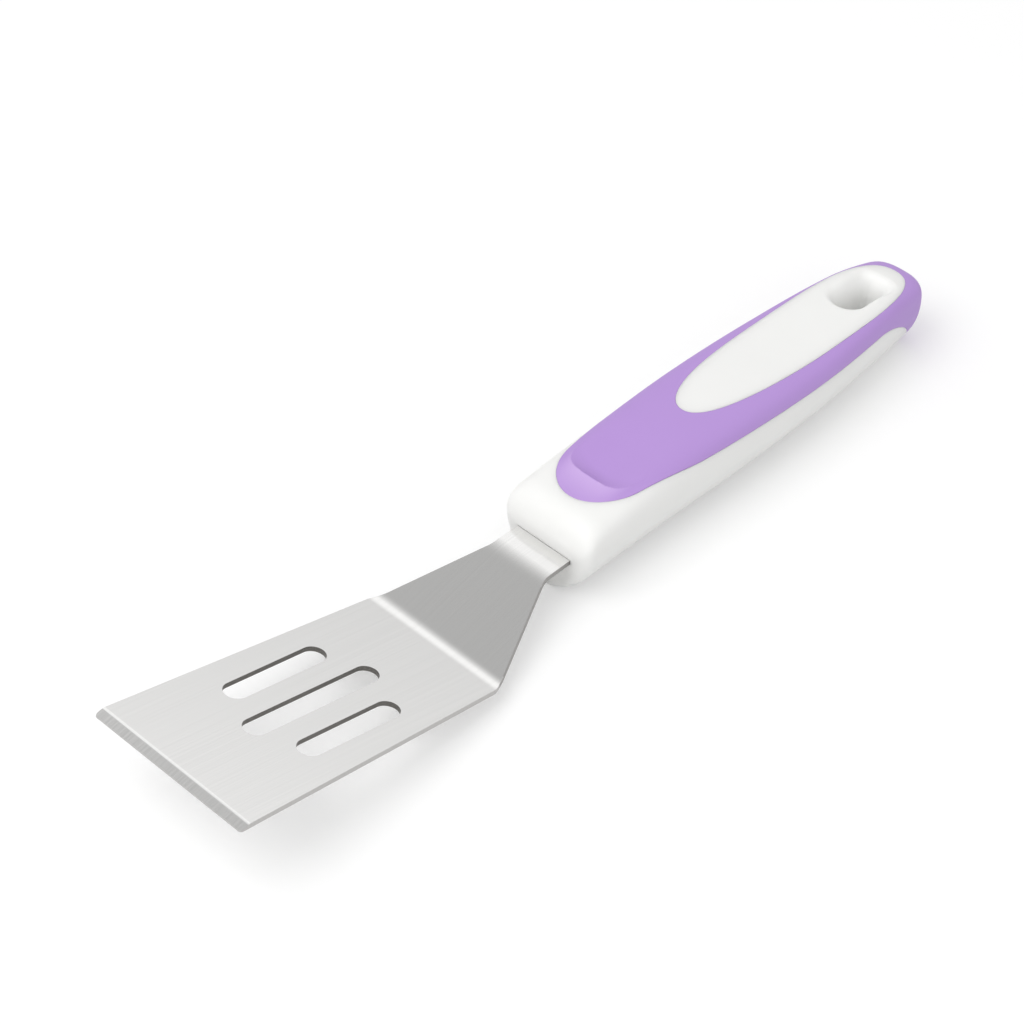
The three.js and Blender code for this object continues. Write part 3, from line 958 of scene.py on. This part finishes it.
@dataclass
class HandleBody(Piece):
    """The white moulding: nose, sides, underside and window, with tang slot, core room and hang hole."""

    node: ClassVar[str] = "handle_body"
    finish: ClassVar[Finish] = Finish.WHITE
    lines: GripLines
    blade: SteelBlade
    pocket: float = 2.0
    lower_columns: int = 36
    pocket_columns: int = 6
    window_columns: int = 16
    slot_gap: float = 0.12
    slot_corner: float = 0.3
    core_setback: float = 4.7
    core_cover: float = 3.0
    core_rear: float = 90.9
    core_steps: int = 24
    hole_width: float = 6.4
    hole_length: float = 12.6
    hole_end_from_butt: float = 12.2
    hole_front_corner: float = 3.0
    hole_rear_corner: float = 1.6
    hole_margin_front: float = 3.2
    hole_margin_rear: float = 4.0
    hole_columns: int = 14
    lip_front: float = 2.6
    lip_rear: float = 3.2
    lip_swell_power: int = 3
    lip_depth: float = 7.0
    lip_under: float = 0.7
    lip_steps: int = 6
    patch_steps: int = 5
    wall_steps: int = 6

    def stations(self) -> np.ndarray:
        """Setbacks of the body's sections, from the nose to the end of its core under the grip's butt."""
        behind_tip = self.lines.stations(self.lines.parting, self.pocket)
        return np.concatenate([eased(0, behind_tip[0], self.lines.counts.nose)[:-1], behind_tip])

    def right_half(self, setback: np.ndarray) -> np.ndarray:
        """Points of the right half, from the middle of the underside to the middle of the top.

        Args:
            setback: Setbacks of the sections.

        Returns:
            The points, with a row for each section.
        """
        counts = self.lines.counts
        tip_at = counts.nose
        window_at = tip_at + counts.tip
        rear_at = window_at + counts.window + counts.tongue
        low = self.lines.lower_angle(setback, self.lines.parting)
        high = self.lines.window_angle(setback, self.lines.parting)
        place = np.arange(len(setback))
        under_grip = np.where(place > tip_at, self.pocket, 0.0)
        in_window = (place > window_at) & (place < rear_at)
        bottom = np.full_like(setback, BOTTOM)
        top = np.full_like(setback, TOP)
        bands = [
            (bottom, low, np.where(place < rear_at, 0.0, self.pocket), self.lower_columns),
            (low, high, under_grip, self.pocket_columns),
            (high, top, np.where(in_window, 0.0, under_grip), self.window_columns),
        ]
        parts = []
        for first, last, inset, columns in bands:
            angle = blend(first, last, columns)
            parts.append(self.lines.form.point(setback[:, None], angle, inset[:, None]))
        return np.concatenate(parts, axis=1)

    def slot_outline(self, places: np.ndarray) -> np.ndarray:
        """Nearest points of the tang slot's rounded outline.

        Args:
            places: Points on the nose, as Y and Z.

        Returns:
            Y and Z on the outline.
        """
        sheet = np.array([self.blade.tang_width, self.blade.thickness])
        half = sheet / 2 + self.slot_gap - self.slot_corner
        centre = np.array([0, self.blade.tang_level])
        core = np.clip(places - centre, -half, half)
        away = places - centre - core
        return centre + core + self.slot_corner * away / np.linalg.norm(away, axis=-1, keepdims=True)

    def hole_outline(self, places: np.ndarray) -> tuple[np.ndarray, np.ndarray]:
        """Nearest points of the hang hole's outline.

        Args:
            places: Points on the plan, as setback and Y.

        Returns:
            The outline's points, and the directions away from the hole there.
        """
        centre = np.array([self.lines.form.length - self.hole_end_from_butt - self.hole_length / 2, 0])
        offset = places - centre
        radius = np.where(offset[:, :1] < 0, self.hole_front_corner, self.hole_rear_corner)
        half = np.array([self.hole_length, self.hole_width]) / 2 - radius
        core = np.clip(offset, -half, half)
        away = offset - core
        away /= np.maximum(np.linalg.norm(away, axis=-1, keepdims=True), SAME_POINT)
        return centre + core + radius * away, away

    def lip_rows(self, edge: np.ndarray, away: np.ndarray, places: np.ndarray, on_top: bool) -> np.ndarray:
        """Rows of points from the skin round the hang hole, over its rounded lip and into it.

        Args:
            edge: The hole's outline on the plan.
            away: Directions away from the hole.
            places: The plan points where the rows start.
            on_top: Whether the rows lie on the top of the handle or on its underside.

        Returns:
            The rows' points, without those of the first row.
        """
        form = self.lines.form
        rear = form.length - self.hole_end_from_butt
        share = np.clip((edge[:, 0] - rear + self.hole_length) / self.hole_length, 0, 1)
        swell = self.lip_front + (self.lip_rear - self.lip_front) * share**self.lip_swell_power
        lip = swell if on_top else np.full_like(swell, self.lip_under)
        depth = self.lip_depth if on_top else self.lip_under
        start = edge + away * lip[:, None]
        plans = [places + (start - places) * step / self.patch_steps for step in range(1, self.patch_steps)]
        drops = [np.zeros_like(lip) for _ in plans]
        for turn in np.linspace(0, math.pi / 2, self.lip_steps + 1):
            plans.append(edge + away * (lip * (1 - math.sin(turn)))[:, None])
            drops.append(np.full_like(lip, depth * (1 - math.cos(turn))))
        rows = []
        for plan, drop in zip(plans, drops):
            skin = form.top_at if on_top else form.underside_at
            level = skin(plan[:, 0], plan[:, 1])
            level = level - drop if on_top else level + drop
            rows.append(np.stack([-plan[:, 0], plan[:, 1], level], axis=-1))
        return np.array(rows)

    def pierce(self, draft: MeshDraft, above: np.ndarray, below: np.ndarray) -> None:
        """Joins the openings left in the top and the underside by the hang hole.

        Args:
            draft: The body's mesh.
            above: Point numbers of the block left open in the top, columns from right to left.
            below: The same in the underside.
        """
        ends = []
        for block, on_top in ((above, True), (below, False)):
            loop = np.concatenate([block[0], block[1:, -1], block[-1, -2::-1], block[-2:0:-1, 0]])
            places = draft.points[loop][:, :2] * (-1, 1)
            edge, away = self.hole_outline(places)
            rows = self.lip_rows(edge, away, places, on_top)
            numbers = np.vstack([loop[None], draft.add(rows)])
            draft.span_round(numbers)
            ends.append((numbers[-1], rows[-1]))
        (upper, upper_row), (lower, lower_row) = ends
        steps = np.arange(1, self.wall_steps) / self.wall_steps
        wall = upper_row + (lower_row - upper_row) * steps[:, None, None]
        draft.span_round(np.vstack([upper[None], draft.add(wall), lower[None]]))

    def paint_light(self, body: bpy.types.Object) -> None:
        """Marks painted light on the hang hole's walls and round its lip, lifting the shade inside the hole.

        Args:
            body: The handle.
        """
        places = setback_and_side(body)
        edge, away = self.hole_outline(places)
        outside = ((places - edge) * away).sum(axis=1)
        mark_painted_light(body, np.clip(1 - outside / self.lip_front, 0, 1))

    def front_and_core(self, ring: np.ndarray) -> np.ndarray:
        """Rows of points from the nose's front face into the tang's slot and round the core's room.

        Args:
            ring: Points of the first section.

        Returns:
            The rows, from the front face to the rear of the core's room.
        """
        form = self.lines.form
        slot = ring.copy()
        slot[:, 1:] = self.slot_outline(ring[:, 1:])
        rows = [ring + (slot - ring) * step / self.patch_steps for step in range(1, self.patch_steps + 1)]
        rows.append(slot - (self.core_setback, 0, 0))
        half, rise, fall = form.section(np.zeros(1))
        offset = ring[:, 2] - form.widest_level
        angle = np.arctan2(offset / np.where(offset > 0, rise, fall), ring[:, 1] / half)
        for setback in np.linspace(self.core_setback, self.core_rear, self.core_steps):
            rows.append(form.point(setback, angle, self.core_cover))
        end = rows[-1].copy()
        end[:, 1:] = (0, form.widest_level)
        return np.array([*rows, end])

    def build(self) -> bpy.types.Object:
        """Makes the body's mesh.

        Returns:
            The body.
        """
        draft = MeshDraft()
        setback = self.stations()
        right = self.right_half(setback)
        left = right * (1, -1, 1)
        under = self.lower_columns + 1
        ring = np.concatenate([left[:, under - 1 : 0 : -1], right, left[:, -2 : under - 1 : -1]], axis=1)
        skin = draft.add(ring)
        closed = np.hstack([skin, skin[:, :1]])
        rear = self.lines.form.length - self.hole_end_from_butt
        first = int(np.searchsorted(setback, rear - self.hole_length - self.hole_margin_front))
        last = int(np.searchsorted(setback, rear + self.hole_margin_rear))
        bottom_at = self.lower_columns
        top_at = bottom_at + right.shape[1] - 1
        open_quads = np.zeros((len(setback) - 1, closed.shape[1] - 1), bool)
        blocks = []
        for middle in (top_at, bottom_at):
            columns = slice(middle - self.hole_columns, middle + self.hole_columns + 1)
            open_quads[first:last, columns.start : columns.stop - 1] = True
            blocks.append(closed[first : last + 1, columns])
        draft.span(closed, open_quads)
        self.pierce(draft, blocks[0], blocks[1][:, ::-1])
        inside = draft.add(self.front_and_core(ring[0]))
        draft.span_round(np.vstack([skin[:1], inside])[::-1])
        body = draft.to_object("moulded_handle")
        self.paint_light(body)
        return body


@dataclass
class SoftGrip(Piece):
    """The lilac overmould: a skin from the thumb dish round the sides and the butt."""

    node: ClassVar[str] = "grip"
    finish: ClassVar[Finish] = Finish.LILAC
    lines: GripLines
    thickness: float = 1.9
    edge_round: float = 0.06
    edge_land: float = 0.2
    outer_columns: int = 44
    inner_columns: int = 8
    rim_steps: int = 3
    dish_setback: float = 14.1
    dish_length: float = 28.0
    dish_half_width: float = 9.0
    dish_depth: float = 1.2
    dish_drop: float = 4.2
    dish_squareness: float = 4.0
    dish_shoulder: float = 14.0
    crest_height: float = 0.6
    crest_length: float = 5.5
    # Length, and narrowing toward the sides, of the painted highlight before the crest.
    crest_highlight_length: float = 7.5
    crest_highlight_narrowing: int = 6

    def crest_run(self, setback: np.ndarray, across: np.ndarray) -> tuple[np.ndarray, ...]:
        """Where places lie by the thumb dish's crest, a crescent across the grip's front.

        Args:
            setback: Places behind the nose.
            across: Distances from the middle plane.

        Returns:
            How far each place is behind the crest, and how full the crest and the bowl are there.
        """
        share = np.clip(np.abs(across) / self.dish_half_width, 0, 1)
        fullness = squared_round(share, self.dish_squareness)
        run = setback - self.dish_setback - self.dish_shoulder * (1 - fullness)
        return run, fullness, (1 - share**2) ** 2

    def dish(self, setback: np.ndarray, across: np.ndarray) -> np.ndarray:
        """Relief of the thumb dish: up to a crest along its front, steeply down, and slowly back behind.

        Args:
            setback: Places behind the nose.
            across: Distances from the middle plane.

        Returns:
            The heights over the plain skin.
        """
        run, fullness, bowl = self.crest_run(setback, across)
        climb = np.clip(1 + run / self.crest_length, 0, 1) ** 2
        fall = 1 - np.clip(1 - run / self.dish_drop, 0, 1) ** 2
        left = self.dish_length - (setback - self.dish_setback - run) - self.dish_drop
        back = np.clip((run - self.dish_drop) / np.maximum(left, SAME_POINT), 0, 1)
        fading = (1 - back) ** 2 * (1 + 2 * back)
        crest = self.crest_height * fullness**2
        return (crest * (climb - fall) - self.dish_depth * bowl * fall) * fading

    def paint_light(self, grip: bpy.types.Object) -> None:
        """Marks a painted highlight on the rise before the thumb dish's crest.

        Args:
            grip: The grip.
        """
        places = setback_and_side(grip)
        run, fullness, _ = self.crest_run(places[:, 0], places[:, 1])
        near_crest = np.clip(1 + run / self.crest_highlight_length, 0, 1) * fullness**self.crest_highlight_narrowing
        mark_painted_light(grip, np.where(run < 0, near_crest, 0))

    def edge_profile(self) -> list[tuple[float, float]]:
        """Rows of the grip's rounded edge.

        Returns:
            How far each row lies inside the parting line, and how deep under the skin.
        """
        turns = np.linspace(0, math.pi / 2, self.rim_steps + 1)
        reach = self.lines.parting + self.edge_round * (1 - np.sin(turns))
        depth = self.edge_round * (1 - np.cos(turns))
        return list(zip(reach.tolist(), depth.tolist()))

    def build(self) -> bpy.types.Object:
        """Makes the grip's mesh: the outer skin, the lining, and the two rounded edges between them.

        Returns:
            The grip.
        """
        draft = MeshDraft()
        lines = self.lines
        form = lines.form
        window_at = lines.counts.tip
        rear_at = window_at + lines.counts.window + lines.counts.tongue
        land = lines.parting + self.edge_round + self.edge_land
        rows = []
        for grow, inset, columns in (
            (-land, 0.0, self.outer_columns),
            (-lines.parting, self.thickness, self.inner_columns),
        ):
            setback = lines.stations(grow, inset)
            angle = blend(lines.lower_angle(setback, grow), lines.window_angle(setback, grow), columns)
            rows.append(form.point(setback[:, None], angle, inset))
        skin, lining = rows
        skin[..., 2] += self.dish(-skin[..., 0], skin[..., 1])
        outer = draft.add(skin)
        inner = draft.add(lining)
        lower_rows = [outer[: rear_at + 1, 0]]
        window_rows = [outer[window_at : rear_at + 1, -1]]
        for reach, depth in self.edge_profile():
            places = lines.stations(-reach, 0)[: rear_at + 1]
            lower = form.point(places, lines.lower_angle(places, -reach), depth)
            upper = form.point(places, lines.window_angle(places, -reach), depth)
            lower_rows.append(draft.add(lower))
            window_rows.append(draft.add(upper[window_at:]))
        lower_rows.append(inner[: rear_at + 1, 0])
        window_rows.append(inner[window_at : rear_at + 1, -1])
        draft.span(outer)
        draft.span(inner[:, ::-1])
        draft.span(np.array(lower_rows))
        draft.span(np.array(window_rows)[::-1])
        draft.mirror()
        grip = draft.to_object("soft_grip")
        self.paint_light(grip)
        return grip


@dataclass(frozen=True)
class SharedEffects:
    """Shader effects that are built once and placed in the finishes."""

    grain_detail: float = 3.0
    grain_breakup: float = 0.6
    mottle_detail: float = 4.0
    mottle_breakup: float = 0.55
    scratch_detail: float = 2.0
    scratch_breakup: float = 0.6
    broad_scale: float = 0.25

    def start(self, name: str, inputs: tuple[str, ...], outputs: tuple[str, ...]) -> tuple[Tree, Sockets]:
        """Starts a shader group.

        Args:
            name: The group's name.
            inputs: The names of its inputs.
            outputs: The names of its outputs.

        Returns:
            The group's tree and its input sockets.
        """
        tree = bpy.data.node_groups.new(name, "ShaderNodeTree")
        for labels, way in ((inputs, "INPUT"), (outputs, "OUTPUT")):
            for label in labels:
                tree.interface.new_socket(label, in_out=way, socket_type="NodeSocketFloat")
        return tree, wire(tree, "NodeGroupInput").outputs

    def noise(
        self, tree: Tree, place: Socket, scale: Socket | float, detail: float, breakup: float
    ) -> Socket:
        """Adds a cloudy pattern.

        Args:
            tree: The group's tree.
            place: Where the pattern is read.
            scale: How fine it is.
            detail: How many finer layers it has.
            breakup: How strong the finer layers are.

        Returns:
            The pattern's value.
        """
        inputs = {"Vector": place, "Scale": scale, "Detail": detail, "Roughness": breakup}
        return wire(tree, "ShaderNodeTexNoise", inputs).outputs[0]

    def moulded_grain(self) -> Tree:
        """Fine spark-eroded grain of moulded plastic, with a broad mottle.

        Returns:
            The group.
        """
        tree, entry = self.start("moulded_grain", ("Grain Scale", "Mottle Scale"), ("Height", "Mottle"))
        place = wire(tree, "ShaderNodeTexCoord").outputs["Object"]
        wire(tree, "NodeGroupOutput", {
            "Height": self.noise(tree, place, entry["Grain Scale"], self.grain_detail, self.grain_breakup),
            "Mottle": self.noise(tree, place, entry["Mottle Scale"], self.mottle_detail, self.mottle_breakup),
        })
        return tree

    def brushed_lines(self) -> Tree:
        """Long fine scratches of brushed or ground steel, with chosen fineness along X and Y.

        Returns:
            The group.
        """
        tree, entry = self.start("brushed_lines", ("Fineness X", "Fineness Y"), ("Height", "Streaks"))
        place = wire(tree, "ShaderNodeTexCoord").outputs["Object"]
        stretch = wire(tree, "ShaderNodeCombineXYZ", {"X": entry["Fineness X"], "Y": entry["Fineness Y"]})
        along = wire(tree, "ShaderNodeVectorMath", {
            0: place, 1: stretch.outputs[0],
        }, operation="MULTIPLY").outputs[0]
        wire(tree, "NodeGroupOutput", {
            "Height": self.noise(tree, along, 1.0, self.scratch_detail, self.scratch_breakup),
            "Streaks": self.noise(tree, along, self.broad_scale, self.scratch_detail, self.scratch_breakup),
        })
        return tree


@dataclass(frozen=True)
class MouldedFinish:
    """A moulded plastic or rubber: its colour, gloss and grain."""

    slot: Finish
    colour: Colour
    deep_colour: Colour
    roughness: float
    grain_scale: float
    grain_height: float
    # Painted light: the lighter colour where a piece's painted-light mark is set.
    painted_light_colour: Colour | None = None
    subsurface: float = 0.0
    subsurface_depth: float = 1.0
    mottle_scale: float = 60.0
    gloss_spread: float = 0.04
    grain_strength: float = 0.35

    def make(self, grain: Tree) -> bpy.types.Material:
        """Makes the material.

        Args:
            grain: The shared grain group.

        Returns:
            The material.
        """
        material, tree, shader = new_material(f"fine_{self.slot.value}")
        effect = wire(tree, "ShaderNodeGroup", {
            "Grain Scale": self.grain_scale, "Mottle Scale": self.mottle_scale,
        }, node_tree=grain).outputs
        tone = mix_colours(tree, effect["Mottle"], self.colour, self.deep_colour)
        # Painted light: lightens the colour where the piece's mark says.
        if self.painted_light_colour:
            painted_light = wire(tree, "ShaderNodeAttribute", attribute_name=PAINTED_LIGHT)
            tone = mix_colours(tree, painted_light.outputs["Fac"], tone, self.painted_light_colour)
        gloss = (self.roughness - self.gloss_spread, self.roughness + self.gloss_spread)
        bump = wire(tree, "ShaderNodeBump", {
            "Height": effect["Height"], "Strength": self.grain_strength, "Distance": self.grain_height * MM,
        })
        feed(tree, shader, {
            "Base Color": tone,
            "Roughness": remap(tree, effect["Mottle"], UNIT, gloss),
            "Normal": bump.outputs[0],
            "Subsurface Weight": self.subsurface,
            "Subsurface Radius": (1, 1, 1),
            "Subsurface Scale": self.subsurface_depth * MM,
        })
        return material


@dataclass(frozen=True)
class BrushedSteel:
    """Brushed stainless sheet, with a cross-ground front edge, a painted highlight line where the grinding
    starts, grey cut walls, and painted shade on the walls inside the slots and on the riser's edges.
    """

    slot: Finish = Finish.STEEL
    light_colour: Colour = (0.915, 0.91, 0.90)
    dark_colour: Colour = (0.825, 0.82, 0.81)
    edge_colour: Colour = (0.5, 0.49, 0.48)
    # Painted shade on the walls inside the slots, and the share of it on the edges of the riser and the tang.
    painted_shade_colour: Colour = (0.165, 0.158, 0.148)
    riser_shade: float = 0.5
    # Painted highlight: a bright line across the sheet where the ground edge starts.
    painted_highlight_colour: Colour = (1.0, 1.0, 0.99)
    painted_highlight_width: float = 0.3
    smooth: float = 0.10
    rough: float = 0.17
    ground_roughness: float = 0.2
    cut_roughness: float = 0.45
    brushed_fineness: tuple[float, float] = (45.0, 9000.0)
    ground_fineness: tuple[float, float] = (60.0, 1800.0)
    stroke_range: tuple[float, float] = (0.35, 0.65)
    wall_facing: tuple[float, float] = (0.2, 0.5)
    line_height: float = 0.002
    line_strength: float = 0.3

    def masks(self, tree: Tree, blade: SteelBlade) -> tuple[Socket, ...]:
        """Adds nodes that tell the sheet's places apart.

        Args:
            tree: The material's tree.
            blade: The sheet.

        Returns:
            Masks of the ground edge, the painted highlight line where it starts and the cut walls, and how
            much painted shade falls on the walls.
        """
        ground_x = (NOSE_X + blade.on_blade(blade.blade_length - blade.bevel_width)[0]) * MM
        slot_x = (NOSE_X + blade.on_blade(blade.slot_centre)[0]) * MM
        heel_x = (NOSE_X + blade.heel()[0]) * MM
        sheet_up = (-math.sin(blade.blade_angle), 0, math.cos(blade.blade_angle))
        place = wire(tree, "ShaderNodeTexCoord").outputs["Object"]
        x, y, _ = wire(tree, "ShaderNodeSeparateXYZ", {0: place}).outputs
        normal = wire(tree, "ShaderNodeNewGeometry").outputs["Normal"]
        facing = wire(tree, "ShaderNodeVectorMath", {0: normal, 1: sheet_up}, operation="DOT_PRODUCT")
        flatness = reckon(tree, "ABSOLUTE", facing.outputs["Value"])
        # Painted shade: full in the stretch of the slots, a share of it behind the heel.
        by_slots = reckon(tree, "COMPARE", x, slot_x, blade.middle_slot / 2 * MM)
        off_middle = reckon(tree, "ABSOLUTE", y)
        between = reckon(tree, "LESS_THAN", off_middle, (blade.slot_spacing + blade.slot_width) * MM)
        punched = reckon(tree, "MULTIPLY", by_slots, between)
        behind_heel = reckon(tree, "LESS_THAN", x, heel_x)
        shaded = reckon(tree, "MULTIPLY", behind_heel, self.riser_shade)
        return (
            reckon(tree, "GREATER_THAN", x, ground_x),
            # Painted highlight: a thin band where the ground edge starts.
            reckon(tree, "COMPARE", x, ground_x, self.painted_highlight_width / 2 * MM),
            remap(tree, flatness, self.wall_facing, UNIT[::-1]),
            reckon(tree, "MAXIMUM", punched, shaded),
        )

    def make(self, lines: Tree, blade: SteelBlade) -> bpy.types.Material:
        """Makes the material.

        Args:
            lines: The shared scratch group.
            blade: The sheet that it is for.

        Returns:
            The material.
        """
        material, tree, shader = new_material(f"fine_{self.slot.value}")
        on_edge, on_painted_highlight, on_wall, painted_shade = self.masks(tree, blade)
        sheet, edge = [
            wire(tree, "ShaderNodeGroup", {"Fineness X": x, "Fineness Y": y}, node_tree=lines).outputs
            for x, y in (self.brushed_fineness, self.ground_fineness)
        ]
        strokes = remap(tree, edge["Height"], self.stroke_range, UNIT)
        streak = mix_values(tree, on_edge, sheet["Streaks"], strokes)
        tone = mix_colours(tree, streak, self.light_colour, self.dark_colour)
        # Painted highlight along the start of the ground edge.
        bright = mix_colours(tree, on_painted_highlight, tone, self.painted_highlight_colour)
        # Cut walls in their own grey, with painted shade inside the slots and on the riser.
        edge_and_painted_shade = mix_colours(tree, painted_shade, self.edge_colour, self.painted_shade_colour)
        gloss = remap(tree, streak, UNIT, (self.smooth, self.rough))
        ground = mix_values(tree, on_edge, gloss, self.ground_roughness)
        bump = wire(tree, "ShaderNodeBump", {
            "Height": mix_values(tree, on_edge, sheet["Height"], edge["Height"]),
            "Strength": self.line_strength,
            "Distance": self.line_height * MM,
        })
        feed(tree, shader, {
            "Base Color": mix_colours(tree, on_wall, bright, edge_and_painted_shade),
            "Roughness": mix_values(tree, on_wall, ground, self.cut_roughness),
            "Normal": bump.outputs[0],
            "Metallic": 1.0,
        })
        return material


@dataclass(frozen=True)
class Lamp:
    """A soft square lamp that faces the part."""

    use: Light
    toward: tuple[float, float, float]
    distance: float
    size: float
    power: float

    def hang(self) -> None:
        """Hangs the lamp."""
        data = bpy.data.lights.new(self.use.value, "AREA")
        data.shape = "SQUARE"
        data.size = self.size
        data.energy = self.power
        direction = Vector(self.toward).normalized()
        facing = direction.to_track_quat("Z", "Y").to_matrix().to_4x4()
        lamp = put_in_scene(self.use.value, data)
        lamp.matrix_world = Matrix.Translation(direction * self.distance) @ facing


@dataclass(frozen=True)
class Studio:
    """Floor, world, soft lamps and the camera. The floor and the lamps are in metres and watts."""

    floor_size: float = 1.4
    floor_colour: float = 0.76
    floor_roughness: float = 0.9
    floor_glow: float = 0.24
    horizon_light: float = 0.58
    zenith_light: float = 0.94
    front_bias: float = 0.25
    mirrored_light: float = 1.1
    mirrored_shares: tuple[tuple[float, float], ...] = (
        (0.36, 0.62), (0.47, 0.8), (0.6, 1.0), (0.7, 0.97), (0.84, 0.43),
    )
    lamps: tuple[Lamp, ...] = (
        Lamp(Light.KEY, toward=(0.5, -0.1, 0.86), distance=1.1, size=0.7, power=3.4),
        Lamp(Light.FILL, toward=(0.25, 0.9, 0.36), distance=1.1, size=1.0, power=1.1),
    )
    camera_azimuth: float = 134.55
    camera_elevation: float = 43.479
    camera_roll: float = 0.036
    camera_distance: float = 674.99
    camera_aim: tuple[float, float, float] = (9.94, -8.10, 16.65)
    camera_lens: float = 109.50

    def floor(self) -> bpy.types.Object:
        """Lays the pale floor.

        Returns:
            The floor, with its material.
        """
        half = self.floor_size / 2
        mesh = bpy.data.meshes.new("floor")
        corners = [(-half, -half, 0), (half, -half, 0), (half, half, 0), (-half, half, 0)]
        mesh.from_pydata(corners, [], [(0, 1, 2, 3)])
        material, tree, shader = new_material("floor")
        path = wire(tree, "ShaderNodeLightPath").outputs
        seen = reckon(tree, "MAXIMUM", path["Is Camera Ray"], path["Is Glossy Ray"])
        feed(tree, shader, {
            "Base Color": (self.floor_colour,) * 3 + (1,),
            "Roughness": self.floor_roughness,
            "Specular IOR Level": 0.0,
            "Emission Color": WHITE_LIGHT,
            "Emission Strength": reckon(tree, "MULTIPLY", seen, self.floor_glow),
        })
        mesh.materials.append(material)
        return put_in_scene("floor", mesh)

    def world(self) -> None:
        """Makes the surrounding light, which is white to the camera and banded in what is mirrored.

        On the part it is brightest from overhead and from before the blade.
        """
        world = bpy.data.worlds.new("studio")
        world.use_nodes = True
        tree = world.node_tree
        place = wire(tree, "ShaderNodeTexCoord").outputs["Generated"]
        x, _, z = wire(tree, "ShaderNodeSeparateXYZ", {0: place}).outputs
        band = wire(tree, "ShaderNodeValToRGB", {0: z})
        stops = band.color_ramp.elements
        while len(stops) < len(self.mirrored_shares):
            stops.new(1.0)
        for stop, (rise, share) in zip(stops, self.mirrored_shares):
            stop.position = rise
            stop.color = (share, share, share, 1)
        mirrored = reckon(tree, "MULTIPLY", band.outputs[0], self.mirrored_light)
        rising = remap(tree, z, UNIT, (self.horizon_light, self.zenith_light))
        toward_tip = reckon(tree, "MULTIPLY_ADD", x, self.front_bias, 1.0)
        soft = reckon(tree, "MULTIPLY", rising, toward_tip)
        path = wire(tree, "ShaderNodeLightPath").outputs
        lit = mix_values(tree, path["Is Glossy Ray"], soft, mirrored)
        feed(tree, tree.nodes["Background"], {
            "Color": WHITE_LIGHT, "Strength": mix_values(tree, path["Is Camera Ray"], lit, 1.0),
        })
        bpy.context.scene.world = world

    def camera(self) -> None:
        """Sets the camera at the photograph's viewing angle."""
        azimuth = math.radians(self.camera_azimuth)
        elevation = math.radians(self.camera_elevation)
        back = Vector((
            math.sin(azimuth) * math.cos(elevation),
            -math.cos(azimuth) * math.cos(elevation),
            math.sin(elevation),
        ))
        right = Vector((math.cos(azimuth), math.sin(azimuth), 0))
        upright = Matrix((right, back.cross(right), back)).transposed()
        turn = upright @ Matrix.Rotation(math.radians(self.camera_roll), 3, "Z")
        data = bpy.data.cameras.new("camera")
        data.lens = self.camera_lens
        data.clip_start = MM
        camera = put_in_scene("camera", data)
        place = (Vector(self.camera_aim) + back * self.camera_distance) * MM
        camera.matrix_world = Matrix.Translation(place) @ turn.to_4x4()
        bpy.context.scene.camera = camera

    def build(self) -> None:
        """Sets up the floor, the light and the camera."""
        bpy.context.scene.view_settings.view_transform = "Standard"
        self.floor()
        self.world()
        for lamp in self.lamps:
            lamp.hang()
        self.camera()


FINISHES = (
    MouldedFinish(
        Finish.WHITE,
        colour=(0.88, 0.88, 0.865),
        deep_colour=(0.855, 0.855, 0.84),
        # Painted light inside the hang hole.
        painted_light_colour=(0.97, 0.97, 0.955),
        roughness=0.42,
        grain_scale=2600.0,
        grain_height=0.01,
        subsurface=0.5,
        subsurface_depth=2.5,
    ),
    MouldedFinish(
        Finish.LILAC,
        colour=(0.472, 0.295, 0.685),
        # Painted highlight before the thumb dish's crest.
        deep_colour=(0.455, 0.28, 0.66),
        painted_light_colour=(0.57, 0.39, 0.75),
        roughness=0.55,
        grain_scale=3200.0,
        grain_height=0.012,
    ),
    MouldedFinish(
        Finish.CORE,
        colour=(0.72, 0.70, 0.64),
        deep_colour=(0.69, 0.67, 0.61),
        roughness=0.55,
        grain_scale=2000.0,
        grain_height=0.01,
    ),
)


def main() -> None:
    """Builds the turner and its studio."""
    logging.basicConfig(level=logging.INFO)
    Studio().build()
    effects = SharedEffects()
    grain = effects.moulded_grain()
    materials = {finish.slot: finish.make(grain) for finish in FINISHES}
    blade = SteelBlade()
    steel = BrushedSteel().make(effects.brushed_lines(), blade)
    blade.dress(blade.build(steel), steel)
    lines = GripLines(HandleForm(), StationCounts())
    for moulding in (HandleBody(lines, blade), SoftGrip(lines)):
        moulding.dress(moulding.build(), materials[moulding.finish])
    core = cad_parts["tang_core"]
    core.data.materials.clear()
    core.data.materials.append(materials[Finish.CORE])
    LOG.info("%s: kept as its solid, inside the handle", core.name)


if __name__ == "__main__":
    main()
